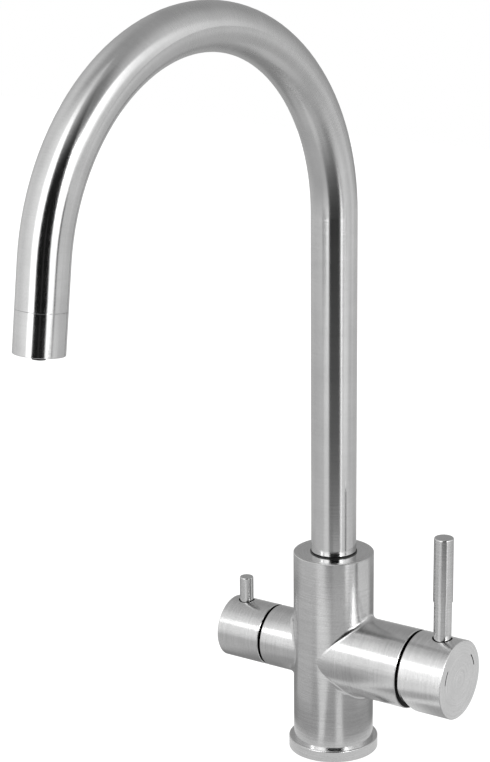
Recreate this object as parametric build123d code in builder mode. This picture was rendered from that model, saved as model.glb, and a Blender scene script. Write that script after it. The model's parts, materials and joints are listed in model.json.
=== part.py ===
from build123d import *
from math import cos, radians, sin
import os

# Kitchen faucet with a swivel swan neck, a side mixer and a separate filtered-water tap.
# Millimetres and degrees. The origin is the centre of the base on the worktop, +Z is up, the spout
# reaches to the front (-Y), the mixer stands out to +X and the filter tap to -X.

# Clearances
RUN = 0.05            # radial play of a part that turns in its bore
PUSH = 0.05           # radial play of a fixed part in its bore
FREE = 0.3            # gap between pieces that pass each other
FACE = 0.05           # gap between two flat faces that slide or turn on each other
EDGE_BREAK = 0.35     # small bevel on turned edges

# Body and base
BARREL_Z = 58.0       # height of the axis shared by both side barrels
BODY_MARGIN = 0.25    # how much larger the body's radius is than the mixer barrel's
CREASE_FILLET = 3.0   # soft blend where a barrel leaves the body
RING_LEDGE = 2.7      # how far the base ring stands out past the body
RING_H = 6.4
RING_ROUND = 0.6
RING_WALL = 4.0       # wall of the base ring outside the body's spigot
SPIGOT_LIFT = 0.5     # the body stays this far above the worktop
SEAL_W = 2.0          # width of the rubber ring under the base
SEAL_T = 1.5
SEAL_INSET = 0.5      # metal lip left inside the rubber ring

# Fixing under the worktop
SHANK_D = 33.0
SHANK_BORE = 28.0
SHANK_GRIP = 12.0     # depth of thread inside the body
WORKTOP_T = 30.0      # thickness of the worktop in the clamp
CLAMP_D = 52.0
GASKET_T = 3.0
WASHER_T = 2.0
NUT_H = 9.0
NUT_FLATS = 44.0
NUT_CORNER_BREAK = 1.6  # bevel across the nut's corners
SHANK_TAIL = 12.0     # thread left below the nut

# Inlet ports and water ways
INLET_D = 9.0         # bore of a port for a fine M10 hose tail
INLET_DEPTH = 12.0
INLET_CIRCLE = 15.0
INLET_ANGLE = 60.0    # hot and cold ports, turned from the mixer's axis
WAY_D = 5.0           # drilled water ways
FILTER_WAY_LIFT = 1.25  # axis of the filtered-water way above the valve's bore

# Swan neck
TUBE_D = 25.0
TUBE_WALL = 1.5
NECK_START = 306.5    # height where the neck begins to bend
NECK_R = 109.5
NECK_SWEEP = 172.6
NECK_TAIL = 22.3      # straight run between the bend and the outlet sleeve
SPOUT_TURN = 5.0      # how far the spout stands turned towards -X
FOOT_ROUND = 0.6

# Swivel joint of the neck
SOCKET_DEPTH = 37.5
SOCKET_ROOF = 3.5     # metal between the cartridge bore and the neck's socket
FERRULE_STEP = 1.0    # the ferrule is this much thinner in the socket than in the tube
FERRULE_WALL = 3.5
FERRULE_IN_TUBE = 18.0
BEARING_WALL = 2.6
BEARING_H = 6.0
LIP_W = 0.5           # how far the black bearing ring shows past the tube
LIP_T = 0.45
ORING_D = 2.0         # cord of the two spout seals
ORING_LAND = 5.0      # foot of the ferrule to the first seal, and between the seals
KEEPER_D = 5.0        # grub screw that keeps the spout in its socket
KEEPER_LENGTH = 8.0
KEEPER_DROP = 9.0     # below the bearing ring
KEEPER_GROOVE = 1.2
SOCKET_FLATS = 2.5    # hexagon socket of the grub screws
HEX_DEPTH = 4.0

# Filtered-water pipe inside the neck
PIPE_D = 8.0
PIPE_WALL = 1.0
PIPE_GRIP = 7.0       # depth of the pipe in its seat below the spout's socket
PIPE_ORING_D = 1.6

# Outlet
SLEEVE_LENGTH = 20.7
SLEEVE_WALL = 1.8
SLEEVE_SPIGOT = 8.0
SLEEVE_SEAT_W = 1.7   # shoulder that carries the aerator
SEAM_BEVEL = 0.2
AERATOR_LENGTH = 10.0
AERATOR_INSET = 1.0   # how far the screen lies inside the mouth
AERATOR_SEAL_T = 1.5
SCREEN_T = 0.6
JET_D = 2.0
JET_COUNT = 12
SCREEN_HOLE_D = 1.0
SCREEN_HOLE_COUNTS = (20, 26, 32)
NOZZLE_WALL = 1.1
NOZZLE_SOCKET = 5.0   # depth of the pipe in the nozzle
NOZZLE_TIP_D = 6.6
NOZZLE_TIP_SHOWN = 2.4  # how far the nozzle's tip stands out of the mouth

# Mixer cartridge, from its seat outwards
CARTRIDGE_SEAT = 21.0
CARTRIDGE_D = 35.0
CARTRIDGE_WALL = 2.5
CARTRIDGE_BASE_T = 4.0
PEG_D = 4.0
PEG_LENGTH = 3.0
PEG_RADIUS = 13.5
CARTRIDGE_PORT_D = 6.4
CARTRIDGE_PORT_Y = 6.5
CARTRIDGE_PORT_LOW = 4.0
CARTRIDGE_PORT_HIGH = 8.0
PORT_SEAL_W = 1.7
PORT_SEAL_T = 1.5
FIXED_DISC_T = 3.5
FIXED_DISC_MARGIN = 1.2
MOVING_DISC_D = 21.0
MOVING_DISC_T = 3.0
DISC_POCKET_D = 12.0
DISC_POCKET_DEPTH = 1.5
DRIVER_T = 2.5
BALL_D = 5.0
BALL_PLAY = 0.15
BALL_REACH = 7.0      # from the ball to the tilt axis
DRIVER_BOSS_WALL = 2.8
BOSS_PAST_BALL = 1.25  # the driver's socket past the middle of the ball
ROTOR_FLANGE_T = 4.0
HUB_D = 22.0
HUB_PAST_PIVOT = 4.0
HOUSING_LID_T = 2.7
PIVOT_PIN_D = 4.0
PIVOT_PIN_INSET = 1.0  # ends of the pin below the hub's surface
STEM_NECK_D = 4.0     # between the stem's square and its ball
STEM_W = 8.0
STEM_BEHIND_PIVOT = 3.4
STEM_SLOT_H = 12.4
STEM_IN_HANDLE = 8.0
NUT_THREAD = 1.5      # radial step from the cartridge to its nut's thread
CARTRIDGE_NUT_H = 6.5
CARTRIDGE_NUT_GAP = 1.5
SPANNER_SLOT_W = 4.0
SPANNER_SLOT_DEPTH = 2.0
SPANNER_SLOT_COUNT = 4
MIXER_WALL = 3.05     # barrel wall outside the nut's thread
MIXER_RIM = 5.0       # barrel past the cartridge nut

# Mixer handle
MIXER_TILT = 21.0     # lever travel, closed to fully open
MIXER_GAP = 1.8
MIXER_HANDLE_LENGTH = 26.5
HANDLE_CUP_WALL = 5.0
HANDLE_CUP_DEPTH = 3.0
ROD_INSET = 11.2      # rod axis behind the handle's front face
ROD_GRIP_D = 10.8
ROD_SHANK_D = 9.8
ROD_SHANK_SHOWN = 21.5
ROD_GRIP_LENGTH = 36.5
ROD_SEAT = 12.0       # depth of the rod in the handle
ROD_WELL_GAP = 0.7    # dark ring around the rod where it enters the handle
ROD_WELL_DEPTH = 2.0
ROD_ROUND = 0.8
GRUB_D = 5.0
GRUB_LENGTH = 8.0
MARK_RADIUS_INSET = 6.0
MARK_W = 0.7
MARK_DEPTH = 0.35
MARK_ARC = 27.0
MARK_LIFT_FRONT = 22.0  # middle of the front mark, turned up from the level
MARK_LIFT_BACK = 27.0

# Filter valve, from its seat outwards
VALVE_SEAT = 17.5
VALVE_D = 20.8
VALVE_WALL = 2.3
VALVE_SEAL_T = 2.0
VALVE_SEAL_W = 3.0
VALVE_FIXED_DISC_T = 3.0
VALVE_MOVING_DISC_T = 2.5
VALVE_PORT_D = 4.8
VALVE_PORT_RADIUS = 4.3
SPINDLE_HEAD_T = 2.5
SPINDLE_D = 8.0
SPINDLE_SQUARE = 6.0
SPINDLE_ORING_D = 1.5
VALVE_ORING_D = 1.5
VALVE_SHOULDER = 3.5  # valve wall between the disc chamber and the flange
VALVE_FLANGE_D = 26.0
VALVE_FLANGE_T = 3.0
VALVE_NECK_D = 14.0
VALVE_NECK_LENGTH = 6.0
CLIP_T = 0.8
CLIP_W = 1.8
CLIP_BITE = 0.8
CLIP_OPENING = 50.0
WELL_GAP = 1.0        # room around the valve's flange
FILTER_WALL = 3.4
FILTER_RIM = 4.2      # barrel past the valve's flange

# Filter handle
FILTER_GAP = 1.5
FILTER_HANDLE_LENGTH = 27.5
FILTER_CUP_WALL = 5.0
FILTER_CUP_DEPTH = 4.0
SQUARE_IN_HANDLE = 8.0
PIN_INSET = 8.7
PIN_D = 7.8
PIN_SHOWN = 14.0
PIN_SEAT = 10.0
PIN_WELL_GAP = 0.6
PIN_WELL_DEPTH = 1.5
PIN_ROUND = 0.6

# Worked-out sizes of the mixer barrel and the body
CARTRIDGE_R = CARTRIDGE_D / 2
NUT_R = CARTRIDGE_R + NUT_THREAD
MIXER_R = NUT_R + PUSH + MIXER_WALL
BODY_R = MIXER_R + BODY_MARGIN
VALVE_R = VALVE_D / 2
WELL_R = VALVE_FLANGE_D / 2 + WELL_GAP
FILTER_R = WELL_R + FILTER_WALL
RING_R = BODY_R + RING_LEDGE
SPIGOT_R = RING_R - RING_WALL

# Stations along the mixer's axis
BASE_END = CARTRIDGE_SEAT + CARTRIDGE_BASE_T
FIXED_END = BASE_END + FIXED_DISC_T
DISC_START = FIXED_END + FACE
DISC_END = DISC_START + MOVING_DISC_T
DRIVER_END = DISC_END + DRIVER_T
BALL_R = BALL_D / 2
BALL_X = DRIVER_END + BALL_R + FREE
BOSS_END = BALL_X + BOSS_PAST_BALL
BOSS_R = BALL_R + BALL_PLAY + DRIVER_BOSS_WALL
PIVOT_X = BALL_X + BALL_REACH
ROTOR_START = DRIVER_END + FREE
FLANGE_END = ROTOR_START + ROTOR_FLANGE_T
LID_START = FLANGE_END + FREE
HOUSING_END = LID_START + HOUSING_LID_T
HUB_END = PIVOT_X + HUB_PAST_PIVOT
HUB_R = HUB_D / 2
HOUSING_BORE_R = CARTRIDGE_R - CARTRIDGE_WALL
NUT_END = HOUSING_END + CARTRIDGE_NUT_H
MIXER_END = NUT_END + MIXER_RIM
MIXER_REAR = MIXER_END + MIXER_GAP
MIXER_FRONT = MIXER_REAR + MIXER_HANDLE_LENGTH
MIXER_CUP_END = MIXER_REAR + HANDLE_CUP_DEPTH
STEM_END = MIXER_CUP_END + STEM_IN_HANDLE
DISC_TRAVEL = BALL_REACH * sin(radians(MIXER_TILT))
ROD_X = MIXER_FRONT - ROD_INSET
MIXER_CROWN = BARREL_Z + MIXER_R

# Stations along the filter tap's axis, measured outwards
VALVE_DISC_START = VALVE_SEAT + VALVE_SEAL_T
VALVE_FIXED_END = VALVE_DISC_START + VALVE_FIXED_DISC_T
VALVE_MOVING_START = VALVE_FIXED_END + FACE
VALVE_MOVING_END = VALVE_MOVING_START + VALVE_MOVING_DISC_T
SPINDLE_HEAD_END = VALVE_MOVING_END + SPINDLE_HEAD_T
VALVE_CHAMBER_END = SPINDLE_HEAD_END + FREE
VALVE_CHAMBER_R = VALVE_R - VALVE_WALL
VALVE_FLANGE_START = VALVE_CHAMBER_END + VALVE_SHOULDER
VALVE_FLANGE_END = VALVE_FLANGE_START + VALVE_FLANGE_T
VALVE_NECK_END = VALVE_FLANGE_END + VALVE_NECK_LENGTH
CLIP_START = VALVE_NECK_END + FACE
SPINDLE_R = SPINDLE_D / 2
FILTER_END = VALVE_FLANGE_END + FILTER_RIM
FILTER_REAR = FILTER_END + FILTER_GAP
FILTER_FRONT = FILTER_REAR + FILTER_HANDLE_LENGTH
FILTER_CUP_END = FILTER_REAR + FILTER_CUP_DEPTH
SQUARE_END = FILTER_CUP_END + SQUARE_IN_HANDLE
PIN_X = FILTER_FRONT - PIN_INSET
FILTER_CROWN = BARREL_Z + FILTER_R

# Heights in the body
SHANK_R = SHANK_D / 2
INLET_FLOOR = SHANK_GRIP + INLET_DEPTH
SOCKET_FLOOR = BARREL_Z + CARTRIDGE_R + SOCKET_ROOF
BODY_TOP = SOCKET_FLOOR + SOCKET_DEPTH
TUBE_R = TUBE_D / 2
TUBE_BORE_R = TUBE_R - TUBE_WALL
FERRULE_R = TUBE_BORE_R - FERRULE_STEP
SOCKET_R = FERRULE_R + RUN
BEARING_R = SOCKET_R + BEARING_WALL
BEARING_SEAT = BODY_TOP - BEARING_H
TUBE_FOOT = BODY_TOP + LIP_T + FACE
FERRULE_FOOT = SOCKET_FLOOR + FREE
FERRULE_TOP = TUBE_FOOT + FERRULE_IN_TUBE
KEEPER_Z = BEARING_SEAT - KEEPER_DROP
ORING_R = ORING_D / 2
ORING_RING_R = SOCKET_R - FACE - ORING_R
ORING_HEIGHTS = [FERRULE_FOOT + ORING_LAND, FERRULE_FOOT + 2 * ORING_LAND]
PIPE_R = PIPE_D / 2
PIPE_SEAT_R = PIPE_R + RUN
PIPE_SEAT_FLOOR = SOCKET_FLOOR - PIPE_GRIP - FREE
PIPE_FOOT = SOCKET_FLOOR - PIPE_GRIP
PIPE_ORING_R = PIPE_ORING_D / 2
PIPE_ORING_Z = SOCKET_FLOOR - PIPE_GRIP / 2

# Water ways in the body
WAY_R = WAY_D / 2
HOT_PORT = (-CARTRIDGE_PORT_Y, -CARTRIDGE_PORT_LOW)
COLD_PORT = (CARTRIDGE_PORT_Y, -CARTRIDGE_PORT_LOW)
MIXED_PORT = (0, CARTRIDGE_PORT_HIGH)
CARTRIDGE_PORTS = [HOT_PORT, COLD_PORT, MIXED_PORT]
CARTRIDGE_PORT_R = CARTRIDGE_PORT_D / 2
INLET_CIRCLE_R = INLET_CIRCLE / 2
INLET_X = INLET_CIRCLE_R * cos(radians(INLET_ANGLE))
INLET_Y = INLET_CIRCLE_R * sin(radians(INLET_ANGLE))
HOT_INLET = (INLET_X, -INLET_Y)
COLD_INLET = (INLET_X, INLET_Y)
FILTER_INLET = (-INLET_CIRCLE_R, 0)
LOW_WAY_Z = BARREL_Z - CARTRIDGE_PORT_LOW
MIXED_WAY_Z = BARREL_Z + CARTRIDGE_PORT_HIGH
MIXED_WAY_X = (PIPE_SEAT_R + SOCKET_R) / 2
FILTER_WAY_X = (VALVE_MOVING_END + SPINDLE_HEAD_END) / 2
FILTER_WAY_Z = BARREL_Z + VALVE_R + FILTER_WAY_LIFT

# Planes: half-sections of turned pieces run outwards along local x with their radius along local y,
# and the face planes carry patterns seen along an axis, with world Z up.
COLUMN = Plane(origin=(0, 0, 0), x_dir=(0, 0, 1), z_dir=(0, 1, 0))
MIXER = Plane(origin=(0, 0, BARREL_Z), x_dir=(1, 0, 0), z_dir=(0, -1, 0))
FILTER = Plane(origin=(0, 0, BARREL_Z), x_dir=(-1, 0, 0), z_dir=(0, 1, 0))
MIXER_FACE = Plane(origin=(0, 0, BARREL_Z), x_dir=(0, 1, 0), z_dir=(1, 0, 0))
FILTER_FACE = Plane(origin=(0, 0, BARREL_Z), x_dir=(0, -1, 0), z_dir=(-1, 0, 0))
BACK_FACE = Plane(origin=(0, 0, 0), x_dir=(-1, 0, 0), z_dir=(0, 1, 0))
FORWARD = Vector(-sin(radians(SPOUT_TURN)), -cos(radians(SPOUT_TURN)), 0)
NECK = Plane(origin=(0, 0, 0), x_dir=FORWARD, z_dir=FORWARD.cross(Vector(0, 0, 1)))

os.makedirs("parts", exist_ok=True)


def save(piece, node):
    """Label a finished piece and write it under its node's name."""
    piece.part.label = node
    export_step(piece.part, f"parts/{node}.step")


def turned(section, start, *steps):
    """Half-section of a turned solid: each step is (where it ends along the axis, its radius)."""
    outline = [(start, 0)]
    for end, radius in steps:
        outline += [(outline[-1][0], radius), (end, radius)]
    outline.append((outline[-1][0], 0))
    with BuildSketch(section) as half:
        with BuildLine():
            Polyline(*outline, close=True)
        make_face()
    return half.sketch


def axis_of(section):
    """The axis that a half-section turns about."""
    return Axis(section.origin, section.x_dir)


def cord_section(section, along, ring_radius, cord_radius):
    """Round section of a sealing ring that lies around the section's axis."""
    with BuildSketch(section) as cord:
        with Locations((along, ring_radius)):
            Circle(cord_radius)
    return cord.sketch


def neck_path(foot, tail):
    """Centre line of the neck: up the column, over the bend and straight down to the outlet."""
    with BuildLine(NECK) as path:
        Line((0, foot), (0, NECK_START))
        bend = CenterArc((NECK_R, NECK_START), NECK_R, 180, -NECK_SWEEP)
        PolarLine(bend @ 1, tail, direction=bend % 1)
    return path.wires()[0]


SEAM_LINE = neck_path(TUBE_FOOT, NECK_TAIL)
OUTLET = Plane(origin=SEAM_LINE @ 1, x_dir=SEAM_LINE % 1, z_dir=NECK.z_dir)
OUTLET_FACE = Plane(origin=SEAM_LINE @ 1, x_dir=NECK.z_dir, z_dir=SEAM_LINE % 1)

# Body casting: column, both barrels, seats and drilled water ways
with BuildPart() as body_casting:
    revolve(turned(COLUMN, SPIGOT_LIFT, (RING_H, SPIGOT_R), (BODY_TOP, BODY_R)), axis=Axis.Z)
    revolve(turned(MIXER, 0, (MIXER_END, MIXER_R)), axis=axis_of(MIXER))
    revolve(turned(FILTER, 0, (FILTER_END, FILTER_R)), axis=axis_of(FILTER))
    creases = body_casting.edges().filter_by(GeomType.CIRCLE, reverse=True)
    fillet(creases.filter_by(GeomType.LINE, reverse=True), radius=CREASE_FILLET)
    for axis, end in ((Axis.Z, -1), (Axis.X, -1), (Axis.X, 0)):
        chamfer(body_casting.edges().group_by(axis)[end], length=EDGE_BREAK)
    socket = turned(COLUMN, SOCKET_FLOOR, (BEARING_SEAT, SOCKET_R), (BODY_TOP, BEARING_R + PUSH))
    revolve(socket, axis=Axis.Z, mode=Mode.SUBTRACT)
    revolve(turned(COLUMN, PIPE_SEAT_FLOOR, (SOCKET_FLOOR, PIPE_SEAT_R)), axis=Axis.Z, mode=Mode.SUBTRACT)
    groove_ends = (PIPE_ORING_Z - PIPE_ORING_R - FACE, PIPE_ORING_Z + PIPE_ORING_R + FACE)
    groove = turned(COLUMN, groove_ends[0], (groove_ends[1], PIPE_SEAT_R + PIPE_ORING_D))
    revolve(groove, axis=Axis.Z, mode=Mode.SUBTRACT)
    revolve(turned(COLUMN, SPIGOT_LIFT, (SHANK_GRIP, SHANK_R + PUSH)), axis=Axis.Z, mode=Mode.SUBTRACT)
    chamber = turned(MIXER, CARTRIDGE_SEAT, (HOUSING_END, CARTRIDGE_R + PUSH), (MIXER_END, NUT_R + PUSH))
    revolve(chamber, axis=axis_of(MIXER), mode=Mode.SUBTRACT)
    well = turned(FILTER, VALVE_SEAT, (VALVE_FLANGE_START, VALVE_R + PUSH), (FILTER_END, WELL_R))
    revolve(well, axis=axis_of(FILTER), mode=Mode.SUBTRACT)
    with BuildSketch(Plane.XY.offset(SHANK_GRIP)):
        with Locations(HOT_INLET, COLD_INLET, FILTER_INLET):
            Circle(INLET_D / 2)
    extrude(amount=INLET_DEPTH, mode=Mode.SUBTRACT)
    with BuildSketch(Plane.XY.offset(INLET_FLOOR)):
        with Locations(HOT_INLET, COLD_INLET, FILTER_INLET):
            Circle(WAY_R)
    extrude(amount=LOW_WAY_Z - INLET_FLOOR, mode=Mode.SUBTRACT)
    with BuildSketch(MIXER_FACE.offset(CARTRIDGE_SEAT)):
        with Locations(HOT_PORT, COLD_PORT):
            Circle(WAY_R)
    extrude(amount=HOT_INLET[0] - CARTRIDGE_SEAT, mode=Mode.SUBTRACT)
    with BuildSketch(MIXER_FACE.offset(CARTRIDGE_SEAT)):
        with Locations(MIXED_PORT):
            Circle(WAY_R)
    extrude(amount=MIXED_WAY_X - CARTRIDGE_SEAT, mode=Mode.SUBTRACT)
    with BuildSketch(Plane.XY.offset(MIXED_WAY_Z)):
        with Locations((MIXED_WAY_X, 0)):
            Circle(WAY_R)
    extrude(amount=SOCKET_FLOOR - MIXED_WAY_Z, mode=Mode.SUBTRACT)
    with BuildSketch(FILTER_FACE.offset(VALVE_SEAT)):
        with Locations((0, LOW_WAY_Z - BARREL_Z)):
            Circle(WAY_R)
    extrude(amount=-VALVE_SEAT - FILTER_INLET[0], mode=Mode.SUBTRACT)
    with BuildSketch(Plane.XY.offset(BARREL_Z)):
        with Locations((-FILTER_WAY_X, 0)):
            Circle(WAY_R)
    extrude(amount=FILTER_WAY_Z - BARREL_Z, mode=Mode.SUBTRACT)
    with BuildSketch(FILTER_FACE.offset(FILTER_WAY_X)):
        with Locations((0, FILTER_WAY_Z - BARREL_Z)):
            Circle(WAY_R)
    extrude(amount=-FILTER_WAY_X, mode=Mode.SUBTRACT)
    with BuildSketch(Plane.XY.offset(FILTER_WAY_Z)):
        Circle(WAY_R)
    extrude(amount=PIPE_SEAT_FLOOR - FILTER_WAY_Z, mode=Mode.SUBTRACT)
    with BuildSketch(MIXER_FACE.offset(CARTRIDGE_SEAT)):
        with PolarLocations(PEG_RADIUS, 2):
            Circle(PEG_D / 2 + PUSH)
    extrude(amount=-PEG_LENGTH - FREE, mode=Mode.SUBTRACT)
    with BuildSketch(BACK_FACE):
        with Locations((0, KEEPER_Z)):
            Circle(KEEPER_D / 2 + PUSH)
    extrude(amount=BODY_R, mode=Mode.SUBTRACT)
save(body_casting, "body_casting")

# Base ring around the body's foot, and the rubber ring pressed into its underside
SEAL_INNER_R = SPIGOT_R + PUSH + SEAL_INSET
with BuildPart() as base_ring:
    with BuildSketch():
        Circle(RING_R)
        Circle(SPIGOT_R + PUSH, mode=Mode.SUBTRACT)
    extrude(amount=RING_H)
    fillet(base_ring.edges().group_by(Axis.Z)[-1].sort_by(SortBy.LENGTH)[-1], radius=RING_ROUND)
    with BuildSketch():
        Circle(SEAL_INNER_R + SEAL_W)
        Circle(SEAL_INNER_R, mode=Mode.SUBTRACT)
    extrude(amount=SEAL_T, mode=Mode.SUBTRACT)
save(base_ring, "base_ring")

with BuildPart() as base_seal:
    with BuildSketch():
        Circle(SEAL_INNER_R + SEAL_W - PUSH)
        Circle(SEAL_INNER_R + PUSH, mode=Mode.SUBTRACT)
    extrude(amount=SEAL_T)
save(base_seal, "base_seal")

# Threaded shank that the hoses pass through, with its gasket, washer and nut
GASKET_FOOT = -WORKTOP_T - GASKET_T
WASHER_FOOT = GASKET_FOOT - WASHER_T
NUT_FOOT = WASHER_FOOT - NUT_H
NUT_CORNER_R = NUT_FLATS / 2 / cos(radians(30))
SHANK_FOOT = NUT_FOOT - SHANK_TAIL
with BuildPart() as fixing_shank:
    with BuildSketch(Plane.XY.offset(SHANK_FOOT)):
        Circle(SHANK_R)
        Circle(SHANK_BORE / 2, mode=Mode.SUBTRACT)
    extrude(amount=SHANK_GRIP - SHANK_FOOT)
    chamfer(fixing_shank.edges().group_by(Axis.Z)[0], length=EDGE_BREAK)
save(fixing_shank, "fixing_shank")


def clamp_ring(foot, height, clearance):
    """A flat ring around the shank."""
    with BuildPart() as ring:
        with BuildSketch(Plane.XY.offset(foot)):
            Circle(CLAMP_D / 2)
            Circle(SHANK_R + clearance, mode=Mode.SUBTRACT)
        extrude(amount=height)
    return ring


clamp_gasket = clamp_ring(GASKET_FOOT, GASKET_T, FREE)
save(clamp_gasket, "clamp_gasket")
clamp_washer = clamp_ring(WASHER_FOOT, WASHER_T, FREE)
save(clamp_washer, "clamp_washer")

with BuildPart() as clamp_nut:
    with BuildSketch(Plane.XY.offset(NUT_FOOT)):
        RegularPolygon(NUT_FLATS / 2, 6, major_radius=False)
        Circle(SHANK_R + PUSH, mode=Mode.SUBTRACT)
    extrude(amount=NUT_H)
    chamfer(clamp_nut.edges().filter_by(GeomType.CIRCLE), length=EDGE_BREAK)
    with BuildSketch(COLUMN):
        with BuildLine():
            Polyline(
                (NUT_FOOT, 0),
                (NUT_FOOT, NUT_CORNER_R - NUT_CORNER_BREAK),
                (NUT_FOOT + NUT_CORNER_BREAK / 2, NUT_CORNER_R),
                (WASHER_FOOT - NUT_CORNER_BREAK / 2, NUT_CORNER_R),
                (WASHER_FOOT, NUT_CORNER_R - NUT_CORNER_BREAK),
                (WASHER_FOOT, 0),
                close=True,
            )
        make_face()
    revolve(axis=Axis.Z, mode=Mode.INTERSECT)
save(clamp_nut, "clamp_nut")

# Nylon bearing of the spout, whose lip shows as a thin black ring
with BuildPart() as spout_bearing:
    bearing = turned(COLUMN, BEARING_SEAT, (BODY_TOP, BEARING_R), (BODY_TOP + LIP_T, TUBE_R + LIP_W))
    revolve(bearing, axis=Axis.Z)
    bore = turned(COLUMN, BEARING_SEAT, (BODY_TOP + LIP_T, SOCKET_R))
    revolve(bore, axis=Axis.Z, mode=Mode.SUBTRACT)
save(spout_bearing, "spout_bearing")

# Grub screw in the body's back that keeps the spout in its socket
KEEPER_TIP = FERRULE_R - KEEPER_GROOVE + FREE
with BuildPart() as spout_grub_screw:
    with BuildSketch(BACK_FACE.offset(KEEPER_TIP)):
        with Locations((0, KEEPER_Z)):
            Circle(KEEPER_D / 2)
    extrude(amount=KEEPER_LENGTH)
    with BuildSketch(BACK_FACE.offset(KEEPER_TIP + KEEPER_LENGTH)):
        with Locations((0, KEEPER_Z)):
            RegularPolygon(SOCKET_FLATS / 2, 6, major_radius=False)
    extrude(amount=-HEX_DEPTH, mode=Mode.SUBTRACT)
save(spout_grub_screw, "spout_grub_screw")

with BuildPart() as filter_pipe_seal:
    ring_r = PIPE_R + FACE + PIPE_ORING_R
    revolve(cord_section(COLUMN, PIPE_ORING_Z, ring_r, PIPE_ORING_R), axis=Axis.Z)
save(filter_pipe_seal, "filter_pipe_seal")

# Swan neck tube
with BuildPart() as spout_tube:
    with BuildSketch(Plane.XY.offset(TUBE_FOOT)):
        Circle(TUBE_R)
        Circle(TUBE_BORE_R, mode=Mode.SUBTRACT)
    sweep(path=SEAM_LINE)
    fillet(spout_tube.edges().group_by(Axis.Z)[0].sort_by(SortBy.LENGTH)[-1], radius=FOOT_ROUND)
    seam_edges = spout_tube.edges().filter_by(GeomType.CIRCLE).sort_by_distance(OUTLET.origin)[0:2]
    chamfer(seam_edges.sort_by(SortBy.LENGTH)[-1], length=SEAM_BEVEL)
save(spout_tube, "spout_tube")

# Ferrule brazed into the tube's foot, grooved for two seals and the grub screw's tip
with BuildPart() as spout_ferrule:
    ferrule = turned(COLUMN, FERRULE_FOOT, (TUBE_FOOT, FERRULE_R), (FERRULE_TOP, TUBE_BORE_R - PUSH))
    revolve(ferrule, axis=Axis.Z)
    for height in ORING_HEIGHTS:
        with BuildSketch(COLUMN):
            with Locations((height, ORING_RING_R)):
                Rectangle(ORING_D + 2 * FACE, ORING_D + 2 * FACE)
        revolve(axis=Axis.Z, mode=Mode.SUBTRACT)
    with BuildSketch(COLUMN):
        with Locations((KEEPER_Z, FERRULE_R)):
            Rectangle(KEEPER_D + 2 * FREE, 2 * KEEPER_GROOVE)
    revolve(axis=Axis.Z, mode=Mode.SUBTRACT)
    bore = turned(COLUMN, FERRULE_FOOT, (FERRULE_TOP, FERRULE_R - FERRULE_WALL))
    revolve(bore, axis=Axis.Z, mode=Mode.SUBTRACT)
save(spout_ferrule, "spout_ferrule")

with BuildPart() as spout_seals:
    for height in ORING_HEIGHTS:
        revolve(cord_section(COLUMN, height, ORING_RING_R, ORING_R), axis=Axis.Z)
save(spout_seals, "spout_seals")

# Filtered-water pipe that runs inside the neck from the body to the nozzle
NOZZLE_START = SLEEVE_LENGTH - AERATOR_INSET - AERATOR_LENGTH - AERATOR_SEAL_T - NOZZLE_SOCKET
PIPE_END = NOZZLE_START + NOZZLE_SOCKET - FREE
with BuildPart() as filter_pipe:
    with BuildSketch(Plane.XY.offset(PIPE_FOOT)):
        Circle(PIPE_R)
        Circle(PIPE_R - PIPE_WALL, mode=Mode.SUBTRACT)
    sweep(path=neck_path(PIPE_FOOT, NECK_TAIL + PIPE_END))
save(filter_pipe, "filter_pipe")

# Outlet sleeve with a spigot inside the tube and a shoulder for the aerator
SLEEVE_BORE_R = TUBE_R - SLEEVE_WALL
SLEEVE_SEAT_R = SLEEVE_BORE_R - SLEEVE_SEAT_W
SLEEVE_SEAT = SLEEVE_LENGTH - AERATOR_INSET - AERATOR_LENGTH - AERATOR_SEAL_T
with BuildPart() as outlet_sleeve:
    outer = turned(OUTLET, -SLEEVE_SPIGOT, (0, TUBE_BORE_R - PUSH), (SLEEVE_LENGTH, TUBE_R))
    revolve(outer, axis=axis_of(OUTLET))
    inner = turned(OUTLET, -SLEEVE_SPIGOT, (SLEEVE_SEAT, SLEEVE_SEAT_R), (SLEEVE_LENGTH, SLEEVE_BORE_R))
    revolve(inner, axis=axis_of(OUTLET), mode=Mode.SUBTRACT)
    rims = outlet_sleeve.edges().filter_by(GeomType.CIRCLE).group_by(SortBy.RADIUS)[-1]
    chamfer(rims, length=SEAM_BEVEL)
save(outlet_sleeve, "outlet_sleeve")

# Aerator: sealing washer, jet body and screen around the filtered-water nozzle
NOZZLE_R = PIPE_R + RUN + NOZZLE_WALL
NOZZLE_TIP_R = NOZZLE_TIP_D / 2
NOZZLE_END = SLEEVE_LENGTH + NOZZLE_TIP_SHOWN
AERATOR_START = SLEEVE_SEAT + AERATOR_SEAL_T
SCREEN_START = SLEEVE_LENGTH - AERATOR_INSET - SCREEN_T
AERATOR_R = SLEEVE_BORE_R - PUSH
JET_CIRCLE_R = (NOZZLE_R + SLEEVE_SEAT_R) / 2
with BuildPart() as aerator_seal:
    with BuildSketch(OUTLET_FACE.offset(SLEEVE_SEAT)):
        Circle(AERATOR_R)
        Circle(SLEEVE_SEAT_R, mode=Mode.SUBTRACT)
    extrude(amount=AERATOR_SEAL_T)
save(aerator_seal, "aerator_seal")

with BuildPart() as aerator_body:
    with BuildSketch(OUTLET_FACE.offset(AERATOR_START)):
        Circle(AERATOR_R)
        Circle(NOZZLE_R + PUSH, mode=Mode.SUBTRACT)
        with PolarLocations(JET_CIRCLE_R, JET_COUNT):
            Circle(JET_D / 2, mode=Mode.SUBTRACT)
    extrude(amount=SCREEN_START - AERATOR_START)
save(aerator_body, "aerator_body")

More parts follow.
